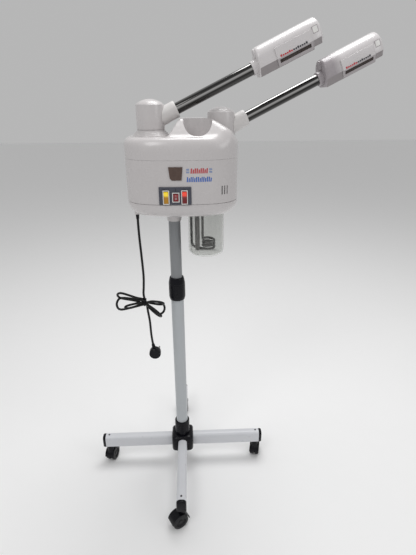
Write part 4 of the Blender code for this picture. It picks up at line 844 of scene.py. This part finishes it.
def build_switch(name, width, height):
    lift = PANEL_LIFT + PANEL_THICK + 0.0006
    joint = JOINTS["rocker_" + name + "_press"]
    across = Vector(joint["axis"])
    place = Matrix((across, Vector((0, 0, 1)).cross(across), Vector((0, 0, 1)))).transposed().to_4x4()
    place = Matrix.Translation(joint["pos_m"]) @ place
    face = -lift - 0.0020
    flange = block("flange", (-width / 2, face, -height / 2), (width / 2, -lift, height / 2), 0.0007)
    body = block("body", (-width / 2 + 0.0008, -lift - 0.001, -height / 2 + 0.0008),
                 (width / 2 - 0.0008, 0.020, height / 2 - 0.0008))
    room_x, room_z = width / 2 - 0.0016, height / 2 - 0.0016
    room = block("room", (-room_x, face - 0.01, -room_z), (room_x, 0.0185, room_z))
    case = cut(cut(flange, [body], "UNION"), [room])
    piece("bezel_" + name, case, M["bezel"], "housing", ["switch_case_" + name], place,
          0.0003)
    half = room_z - 0.0008
    front = face - 0.0012
    curve = []
    for i in range(13):
        z = half - 2 * half * i / 12
        curve.append((front + 0.0016 * (1 - (z / half) ** 2), z))
    curve += [(front + 0.0054, -half + 0.0006), (front + 0.0090, -half * 0.35),
              (front + 0.0090, half * 0.35),
              (front + 0.0054, half - 0.0006)]
    rocker = extrude("rocker", curve, -room_x + 0.0006, room_x - 0.0006, "X")
    tilt = Matrix.Rotation(math.radians(7.0), 4, "X")
    piece("button_" + name, rocker, M["rocker_" + name], "rocker_" + name, ["rocker_" + name],
          place @ tilt, 0.0005)
    if name == "power":
        ring = revolve("ring", [(0.0013, 0), (0.0018, 0), (0.0018, 0.0003), (0.0013, 0.0003)], 32)
        ring = shifted(ring, (0, front + 0.0014, -half * 0.25), (math.pi / 2, 0, 0))
        bar = block("bar", (-0.0003, front + 0.0008, half * 0.40), (0.0003, front + 0.0016, half * 0.72))
        piece("power_mark", join("power_mark", [ring, bar]), M["bezel"], "rocker_power",
              place=place @ tilt)


# ------------------------------------------------------------------ jar
def build_jar():
    r, w, c = 0.0422, 0.0026, 0.010
    outer = [(0, 0.6590)] + [(0.018, 0.6588), (0.026, 0.6580)] + arc((r - c, 0.658 + c), c, -90, 0, 10)
    outer += [(r, 0.7755), (r + 0.0010, 0.7765), (r + 0.0010, 0.7790), (r, 0.7800), (r - w, 0.7800)]
    inner = [(r - w, 0.7700)] + arc((r - c, 0.658 + c), c - w, 0, -90, 8) + [(0, 0.6610)]
    place = HOME @ Matrix.Translation((JAR_X, 0, 0))
    piece("water_jar", revolve("water_jar", outer + inner, 96), M["glass"], "jar", ["jar"],
          place)


def bar_along(name, points, radius, mat, body, replaces):
    curve = bpy.data.curves.new(name, "CURVE")
    curve.dimensions = "3D"
    curve.bevel_depth = radius
    curve.bevel_resolution = 5
    curve.use_fill_caps = True
    spline = curve.splines.new("POLY")
    spline.points.add(len(points) - 1)
    for item, point in zip(spline.points, points):
        item.co = (*point, 1.0)
    item = bpy.data.objects.new(name, curve)
    bpy.context.scene.collection.objects.link(item)
    mesh = bpy.data.meshes.new_from_object(item.evaluated_get(bpy.context.evaluated_depsgraph_get()))
    bpy.data.objects.remove(item, do_unlink=True)
    mesh.materials.clear()
    mesh.shade_smooth()
    return piece(name, mesh, mat, body, replaces)


def build_coil():
    top = 0.7845
    outer_x, inner_x, bend, low = 0.0395, 0.0660, 0.0150, 0.6705
    coil_x, coil_r, pitch, turns = 0.0800, 0.0140, 0.0078, 3
    points = [Vector((outer_x, 0, top)), Vector((outer_x, 0, 0.740)), Vector((outer_x, 0, 0.700))]
    for x, z in arc((outer_x + bend, low + bend), bend, 180, 270, 6):
        points.append(Vector((x, 0, z)))
    points.append(Vector((coil_x - coil_r * 1.25, -coil_r * 0.45, low)))
    steps = 24 * turns - 3
    for i in range(steps + 1):
        turn = math.radians(-110) + 2 * math.pi * i / 24
        points.append(Vector((coil_x + coil_r * math.cos(turn), coil_r * math.sin(turn),
                              low + pitch * i / 24)))
    end = points[-1]
    points += [Vector((inner_x, end.y, end.z + coil_r / 2)), Vector((inner_x, end.y, 0.72)),
               Vector((inner_x, end.y, top))]
    bar_along("heating_coil", smooth_route(points, 0.002), 0.0030, M["coil"], "housing",
              ["heater_coil"])
    tube = [(0.0055, 0.6687), (0.0055, 0.784), (0.0043, 0.784), (0.0043, 0.6687)]
    piece("level_pipe", revolve("level_pipe", tube, 40), M["grey"], "housing",
          ["level_tube"],
          HOME @ Matrix.Translation((0.0535, -0.0110, 0)))


# ------------------------------------------------------------------ arms
def joint_place(name, toward_x):
    """Matrix at a joint whose X runs along toward_x, with Y level."""
    joint = JOINTS[name]
    x = Vector(toward_x).normalized()
    y = Vector((0, 0, 1)).cross(x).normalized()
    return Matrix.Translation(joint["pos_m"]) @ Matrix((x, y, x.cross(y))).transposed().to_4x4()


def head_section(inset=0.0):
    """(y, z) outline: arched top, straight sides, slanted lower sides and a flat keel."""
    r = 0.0260 - inset
    keel = 0.0180 - inset * 0.8
    points = arc((0, 0.0090), r, 0, 180, 28)
    points += [(-r, 0.002), (-r, -0.0038), (-r + 0.0006, -0.0056), (-keel - 0.0006, -0.0212 + inset),
               (-keel + 0.0008, -0.0220 + inset), (keel - 0.0008, -0.0220 + inset),
               (keel + 0.0006, -0.0212 + inset), (r - 0.0006, -0.0056), (r, -0.0038), (r, 0.002)]
    return points


def head_mesh():
    rake = 0.15

    def near(z):
        return (z + 0.0220) * rake
    rings = []
    for pull, ahead in ((0.0030, 0.0), (0.0016, 0.0005), (0.0006, 0.0015), (0.0, 0.0030)):
        rings.append([(near(z) + ahead, y, z) for y, z in head_section(pull)])
    for share in (0.06, 0.3, 0.6, 0.835):
        rings.append([(near(z) * (1 - share) + HEAD_LENGTH * share, y, z) for y, z in head_section()])
    for pull, back in ((0.0, 0.0225), (0.0, 0.0050), (0.0007, 0.0040), (0.0020, 0.0025), (0.0034, 0.0012),
                       (0.0048, 0.0004), (0.0064, 0.0002)):
        lift = 1.0 if back > 0.1 else 0.72
        rings.append([(HEAD_LENGTH - back, y if z > -0.0045 else y * (0.96 if z < -0.02 else 1.0),
                       z if z > -0.0060 else -0.0060 + (z + 0.0060) * lift) for y, z in head_section(pull)])
    shell = loft("head", rings, angle=40)
    collar = revolve("collar", [(0, -0.008), (0.0138, -0.008), (0.0148, -0.0070), (0.0150, -0.0055),
                                (0.0150, 0.010), (0, 0.010)], 72)
    collar = shifted(collar, rotation=(0, math.pi / 2, 0))
    lean = math.atan(rake)
    boss = revolve("boss",
                   [(0, -0.0022), (0.0106, -0.0022), (0.0105, 0.0012), (0.0100, 0.0021), (0.0086, 0.0025),
                            (0.0078, 0.0020), (0, 0.0022)], 64)
    boss = shifted(boss, (near(0.0235), 0, 0.0235), (0, -math.pi / 2 + lean, 0))
    shell = cut(shell, [collar, boss], "UNION", angle=40)
    bore = shifted(rod("bore", 0.0123, -0.02, 0.022, 64), rotation=(0, math.pi / 2, 0))
    slant = math.atan2(0.0170, 0.0080)
    pocket = block("pocket", (0.0460, -0.010, -0.0040), (0.1160, 0.010, 0.0040))
    pocket = shifted(pocket, OUTLET, (math.pi / 2 - slant, 0, 0))
    return cut(shell, [bore, pocket], angle=40)


def side_line(offset, top, low_share=1.0):
    """Three (y, z) corners of the head's near side and slanted side, moved out by an offset."""
    slant = math.atan2(0.0170, 0.0080)
    side = -0.0260 - offset
    bend = -0.0050 - offset * math.tan((math.pi / 2 - slant) / 2)
    low_y = -0.0180 - math.sin(slant) * offset - math.cos(slant) * 0.0022
    low_z = -0.0220 - math.cos(slant) * offset + math.sin(slant) * 0.0022
    low_y = side + (low_y - side) * low_share
    low_z = bend + (low_z - bend) * low_share
    return [(side, top), (side, bend), (low_y, low_z)]


def build_outlet(side, place):
    """Label plate over the head's side, and the slatted outlet in its lower, slanted half."""
    body = "arm_" + side
    out, back = 0.0025, 0.0003
    outline_ = side_line(out, 0.0160) + side_line(back, 0.0160)[::-1]
    plate = extrude("plate", outline_, 0.0420, 0.1200, "X")
    slant = math.atan2(0.0170, 0.0080)
    window = block("w", (0.0465, -0.010, -0.0038), (0.1155, 0.010, 0.0038))
    window = shifted(window, OUTLET, (math.pi / 2 - slant, 0, 0))
    plate = cut(plate, [window])
    item = piece("label_" + side, plate, M["head"], body, ["nozzle_" + side], place, 0.0006)
    # The plate's lower, slanted skin is painted the darker grey of the head's underside: partly its own grey, partly
    # painted shade.
    paint(item, M["head_lip"], lambda at, normal: at.z < -0.0060)
    slats = []
    for i in range(4):
        slat = block("slat", (0.0462, -0.0012, -0.0007), (0.1158, 0.0016, 0.0007), 0.0002, 1)
        offset = -0.0033 + 0.0022 * i
        slats.append(shifted(shifted(slat, (0, 0, offset)), OUTLET, (math.pi / 2 - slant, 0, 0)))
    posts = []
    for i in range(1, 7):
        post = block("post", (-0.0007, 0.0006, -0.0039), (0.0007, 0.0020, 0.0039))
        post = shifted(post, (0.046 + 0.010 * i, 0, 0))
        posts.append(shifted(post, OUTLET, (math.pi / 2 - slant, 0, 0)))
    # The outlet's slats and posts are coloured near black: painted shade inside the outlet's hollow.
    piece("slats_" + side, join("slats", slats + posts), M["outlet_slats_painted_shade"], body, place=place)
    bars = []
    for i in range(13):
        x = 0.0490 + i * 0.0047
        tall = 0.0030 if i % 4 else 0.0042
        bars.append(block("bar", (x, -0.0289, -0.0048), (x + 0.0034, -0.0284, -0.0048 + tall)))
    prints = piece("label_print_" + side, join("label_print", bars), M["print_red"], body,
                   place=place)
    paint(prints, M["print_dark"], lambda at, normal: at.x > 0.0760)


def build_arm(side, values):
    axis_z, rim, seat = values[2:]
    roll = JOINTS["head_" + side + "_roll"]
    along = Vector(roll["axis"])
    arm = joint_place("head_" + side + "_roll", along)
    flat = Vector((along.x, along.y, 0))
    turn = joint_place("turret_" + side + "_swing", flat)
    turn.translation.z = ORIGIN.z
    r, wall = TURRET_RADIUS, WALL
    outer = [(0.0230, seat - 0.012), (0.0230, seat + 0.0003), (r - 0.0008, seat + 0.0003),
             (r, seat + 0.0011)]
    outer += [(r, rim - 0.0022), (r - 0.0003, rim - 0.0009), (r - 0.0012, rim - 0.0001),
              (r - 0.0024, rim + 0.0002)]
    for share in (0.86, 0.75, 0.6, 0.45, 0.3, 0.15):
        outer.append((r * share, rim + 0.010 * (1 - share ** 2)))
    outer.append((0, rim + 0.010))
    inner = [(0, rim + 0.010 - wall), (r * 0.6, rim + 0.0064 - wall), (r - wall, rim - wall),
             (r - wall, seat + wall), (0.0230 - wall, seat + wall), (0.0230 - wall, seat - 0.012)]
    hole = shifted(rod("hole", 0.0123, 0.0, 0.06, 64), (0, 0, axis_z), (0, math.pi / 2 - ARM_RISE, 0))
    shell = cut(revolve("turret", outer + inner, 128), [hole])
    piece("cap_" + side, shell, M["white"], "turret_" + side, ["turret_" + side], turn,
          0.0004)
    sleeve = [(0, 0.012), (0.0185, 0.012), (0.0185, 0.036), (0.0176, 0.045), (0.0178, 0.055),
              (0.0180, 0.0605),
              (0.0172, 0.0622), (0.0158, 0.0630), (0, 0.0630)]
    sleeve = shifted(revolve("sleeve", sleeve, 72), (0, 0, axis_z), (0, math.pi / 2 - ARM_RISE, 0))
    clear = rod("clear", r + 0.0003, seat - 0.05, rim + 0.05, 96)
    bore = shifted(rod("bore", 0.0123, 0.0, 0.09, 64), (0, 0, axis_z), (0, math.pi / 2 - ARM_RISE, 0))
    piece("boot_" + side, cut(sleeve, [clear, bore]), M["stipple"], "turret_" + side,
          ["sleeve_" + side], turn, 0.0004)
    pipe = [(0.0120, 0.0210), (0.0120, 0.2665), (0.0108, 0.2665), (0.0108, 0.0210)]
    pipe = shifted(revolve("pipe", pipe, 72), rotation=(0, math.pi / 2, 0))
    piece("pipe_" + side, pipe, M["tube"], "arm_" + side, ["tube_" + side], arm)
    at_head = arm @ Matrix.Translation((HEAD_START, 0, 0))
    head = piece("head_shell_" + side, head_mesh(), M["head" if side == "left" else "head_painted_shade"],
                 "arm_" + side, ["head_" + side],
                 at_head)
    # The head's lower, slanted faces take a darker grey: partly the part's own grey, partly painted shade on faces
    # turned from the light.
    paint(head, M["head_grey_and_shade"], lambda at, normal: at.z < -0.0048 and abs(normal.x) < 0.5 and at.x > 0.002)
    build_outlet(side, at_head)
    rim = block("rim", (0.1252, -0.0262, 0.0052), (0.1382, -0.0250, 0.0192), 0.0006)
    piece("lens_rim_" + side, rim, M["head_lip"], "arm_" + side, place=at_head)
    # The lens is coloured plain white: a painted highlight standing in for the light on the glossy clear window at
    # the head's far end.
    lens = block("lens", (0.1266, -0.0266, 0.0066), (0.1368, -0.0250, 0.0178), 0.0008)
    piece("lens_" + side, lens, M["bezel"], "arm_" + side, place=at_head)


# ------------------------------------------------------------------ stand
def build_posts():
    low = [(0.0160, 0.0503), (0.0160, 0.5748), (0.0157, 0.5755), (0.0145, 0.5755), (0.0145, 0.0503)]
    piece("post_outer", revolve("post_outer", low, 96), M["post_low"], "base", ["lower_post"])
    high = [(0.0140, 0.2680), (0.0140, 0.7880), (0.0125, 0.7880), (0.0125, 0.2680)]
    piece("post_inner", revolve("post_inner", high, 96), M["post_high"], "mast",
          ["upper_post"])
    low_bore, high_bore, thread = 0.0163, 0.0143, 0.0170
    body = [(0.0176, 0.5350), (0.0186, 0.5353), (0.0200, 0.5405), (0.0205, 0.5430), (0.0205, 0.5762),
            (0.0200, 0.5767), (thread, 0.5767), (thread, 0.5870), (high_bore, 0.5870), (high_bore, 0.5758),
            (low_bore, 0.5758), (low_bore, 0.5350)]
    shell = revolve("clamp", body, 96)
    grooves = []
    for i in range(24):
        turn = 2 * math.pi * i / 24
        groove = rod("groove", 0.0009, 0.5440, 0.5740, 10)
        grooves.append(shifted(groove, (0.0209 * math.cos(turn), 0.0209 * math.sin(turn), 0)))
    shell = cut(shell, [join("grooves", grooves)])
    piece("clamp", shell, M["black"], "base", ["collar_body"])
    nut = [(0.0203, 0.5770), (0.0205, 0.5775), (0.0203, 0.5800), (0.0190, 0.5880), (0.0174, 0.5942),
           (0.0168, 0.5950), (high_bore, 0.5950), (high_bore, 0.5873), (thread + 0.0003, 0.5873),
           (thread + 0.0003, 0.5770)]
    piece("clamp_nut", revolve("clamp_nut", nut, 96), M["black"], "collar_nut",
          ["collar_nut"])


def leg_section(inset=0.0):
    half, top, low, r = 0.0125 - inset, 0.0950 - inset, 0.0600 + inset, 0.010 - inset
    points = arc((-half + 0.002, low + 0.002), 0.002, 180, 270, 3) + arc((half - 0.002, low + 0.002),
                                                                         0.002, 270, 360, 3)
    return points + arc((half - r, top - r), r, 0, 90, 8) + arc((-half + r, top - r), r, 90, 180, 8)


def build_leg(side, turn):
    place = HOME @ Matrix.Rotation(turn, 4, "Z")

    def ring(x, inset):
        return [(x, y, z) for y, z in leg_section(inset)]
    start, end = 0.0308, 0.2255
    shell = loft("leg", [ring(start, 0), ring(end, 0), ring(end, 0.0019), ring(start, 0.0019)], cyclic=True)
    hole = shifted(rod("hole", 0.0058, 0.055, 0.066, 32), (0.2157, 0, 0))
    piece("leg_bar_" + side, cut(shell, [hole]), M["leg"], "base", ["leg_" + side], place)
    face = end + 0.0003
    cap = loft("cap",
               [ring(face - 0.0035, 0.0023), ring(face, 0.0023), ring(face, 0.0), ring(face + 0.0045, 0.0),
                       ring(face + 0.0065, 0.0008), ring(face + 0.0076, 0.0018),
                ring(face + 0.0080, 0.0032)])
    piece("leg_end_" + side, cap, M["black"], "base", ["leg_cap_" + side], place)
    screw = revolve("screw",
                    [(0, 0.0949), (0.0026, 0.0949), (0.0026, 0.0954), (0.0020, 0.0958), (0.0010, 0.0959),
                              (0.0006, 0.0954), (0, 0.0954)], 24)
    piece("leg_screw_" + side, screw, M["screw"], "base",
          place=place @ Matrix.Translation((0.2157, 0, 0)))


def build_hub():
    def ring(half, corner, z):
        points = []
        for k in range(4):
            a = math.pi / 2 * k
            for swing in (-45, -22, 0, 22, 45):
                t = a + math.pi / 4 + math.radians(swing)
                cx = (half - corner) * (math.cos(a) - math.sin(a))
                cy = (half - corner) * (math.sin(a) + math.cos(a))
                points.append((cx + corner * math.cos(t), cy + corner * math.sin(t), z))
        return points
    half = 0.0305
    shell = loft("hub",
                 [ring(0.0188, 0.006, 0.0440), ring(0.0215, 0.008, 0.0452), ring(0.0295, 0.010, 0.0545),
                         ring(half, 0.010, 0.0575), ring(half, 0.010, 0.0945), ring(0.0295, 0.010, 0.0972),
                         ring(0.0262, 0.010, 0.1000), ring(0.0245, 0.010, 0.1010)])
    sleeve = revolve("sleeve",
                     [(0, 0.091), (0.0205, 0.091), (0.0205, 0.1445), (0.0200, 0.1456), (0.0188, 0.1460),
                                (0, 0.1460)], 96)
    bars = []
    for k in range(4):
        section = [(y, z) for y, z in leg_section(0.0023)]
        bar = extrude("bar", section, 0.0210, half + 0.012, "X")
        bars.append(shifted(bar, rotation=(0, 0, math.pi / 2 * k)))
    shell = cut(shell, [sleeve] + bars, "UNION")
    bore = rod("bore", 0.0163, 0.0500, 0.16, 96)
    piece("hub", cut(shell, [bore]), M["black"], "base", ["base_hub"])
    for k in range(4):
        a = math.pi / 2 * k + math.pi / 4
        screw = revolve("screw", [(0, 0.0996), (0.0024, 0.0996), (0.0024, 0.1004), (0.0018, 0.1008),
                                  (0, 0.1009)], 24)
        piece("hub_screw_" + str(k + 1), screw, M["screw"], "base",
              place=HOME @ Matrix.Translation((0.0262 * math.cos(a), 0.0262 * math.sin(a), -0.0001)))


def build_caster(side):
    swivel = Vector(JOINTS["caster_" + side + "_swivel"]["pos_m"])
    roll = Vector(JOINTS["caster_" + side + "_roll"]["pos_m"])
    trail = Vector((roll.x - swivel.x, roll.y - swivel.y, 0)).normalized()
    x, z = trail, Vector((0, 0, 1))
    spin = Matrix((x, z.cross(x), z)).transposed().to_4x4()
    place = Matrix.Translation((swivel.x, swivel.y, ORIGIN.z)) @ spin
    axle, inner, outer = (0.009, 0.0205), 0.0220, 0.0245
    half = 0.0025 + 0.0015 + 0.0095
    web = extrude("web", arc(axle, inner + 0.001, 10, 175, 24) + arc(axle, 0.007, 215, 325, 8), -0.0025,
                  0.0025, "Y")
    hood = extrude("hood", arc(axle, outer, 10, 175, 30) + arc(axle, inner, 175, 10, 30), -half, half, "Y")
    floor = 0.0600
    neck = revolve("neck",
                   [(0, 0.0365), (0.0112, 0.0365), (0.0104, 0.0480), (0.0100, 0.0560), (0.0096, 0.0592),
                            (0.0088, floor - 0.0003), (0, floor - 0.0003)], 48)
    stem = rod("stem", 0.0055, floor - 0.005, floor + 0.018, 32)
    body = cut(web, [hood, neck, stem], "UNION")
    tools = [shifted(rod("hole", 0.0033, -0.005, 0.005, 24), (axle[0], 0, axle[1]), (math.pi / 2, 0, 0))]
    for low in (0.0025, -half - 0.001):
        tool = rod("space", inner, low, low + half + 0.001 - 0.0025, 64)
        tools.append(shifted(tool, (axle[0], 0, axle[1]), (math.pi / 2, 0, 0)))
    piece("caster_fork_" + side, cut(body, tools), M["black"], "caster_" + side,
          ["caster_hood_" + side], place, 0.0006)
    near, far, r = 0.00325, 0.01275, 0.0205
    rim = []
    for sign in (-1, 1):
        if sign < 0:
            rim += [(0, -far + 0.0012), (0.0050, -far + 0.0012), (0.0062, -far + 0.0030),
                    (0.0120, -far + 0.0030),
                    (0.0138, -far), (r - 0.0018, -far), (r - 0.0004, -far + 0.0008), (r, -far + 0.0022),
                    (r, -near - 0.0020), (r - 0.0012, -near), (0.0030, -near)]
        else:
            rim += [(0.0030, near), (r - 0.0012, near), (r, near + 0.0020), (r, far - 0.0022),
                    (r - 0.0004, far - 0.0008), (r - 0.0018, far), (0.0138, far), (0.0120, far - 0.0030),
                    (0.0062, far - 0.0030), (0.0050, far - 0.0012), (0, far - 0.0012)]
    wheels = revolve("wheels", rim, 64)
    axis = Vector(JOINTS["caster_" + side + "_roll"]["axis"])
    spin = Matrix((z.cross(axis), z, axis)).transposed().to_4x4()
    piece("caster_tyres_" + side, wheels, M["wheel"], "wheels_" + side,
          ["caster_wheels_" + side],
          Matrix.Translation(roll) @ spin)


# ------------------------------------------------------------------ inner pieces
INNER = {"jar_ring": "black", "heater_plate": "steel", "water_basin": "basin", "transducer": "brass",
         "fan_frame": "black", "fan_rotor": "black", "circuit_board": "board", "steam_duct": "silicone"}


def finish_inner():
    for node, mat in INNER.items():
        item = frame["nodes"][node]
        item.data.materials.clear()
        item.data.materials.append(M[mat])
        item.data.shade_smooth()
        item.data.set_sharp_from_angle(angle=math.radians(32))


# ------------------------------------------------------------------ studio
def build_stage():
    floor = bpy.data.meshes.new("floor")
    half = 12.0
    floor.from_pydata([(-half, -half, 0), (half, -half, 0), (half, half, 0), (-half, half, 0)], [],
                      [(0, 1, 2, 3)])
    floor.materials.append(surface("floor_pale", (0.93, 0.93, 0.93), 0.7, tint=(0.92, 0.92, 0.92)))
    item = bpy.data.objects.new("floor", floor)
    item.location.z = min(CAD_BOX[0][2], 0.0) - 0.0002
    bpy.context.scene.collection.objects.link(item)
    world = bpy.data.worlds.new("studio")
    world.use_nodes = True
    world.node_tree.nodes["Background"].inputs["Color"].default_value = (1, 1, 1, 1)
    world.node_tree.nodes["Background"].inputs["Strength"].default_value = 0.47
    bpy.context.scene.world = world
    for name, at, aim, size, power in (("key", (-0.9, -1.3, 2.2), (0, 0, 0.85), 0.9, 9.0),
                                       ("fill", (1.5, -1.0, 1.5), (0.1, 0, 0.8), 0.8, 3.0),
                                       ("top", (0.2, 0.5, 2.6), (0, 0, 0.8), 1.3, 27.0)):
        light = bpy.data.lights.new(name, "AREA")
        light.shape = "DISK"
        light.size = size
        light.energy = power
        lamp = bpy.data.objects.new(name, light)
        lamp.location = at
        lamp.rotation_euler = (Vector(aim) - Vector(at)).to_track_quat("-Z", "Y").to_euler()
        bpy.context.scene.collection.objects.link(lamp)
    bpy.context.scene.view_settings.view_transform = "Standard"


add_camera()
build_cord()
build_cover()
build_middle()
build_tray()
build_front()
build_jar()
build_coil()
for side, values in (("left", LEFT_TURRET), ("right", RIGHT_TURRET)):
    build_arm(side, values)
build_posts()
build_hub()
for k, side in enumerate(("right", "rear", "left", "front")):
    build_leg(side, math.pi / 2 * k)
    build_caster(side)
finish_inner()
build_stage()
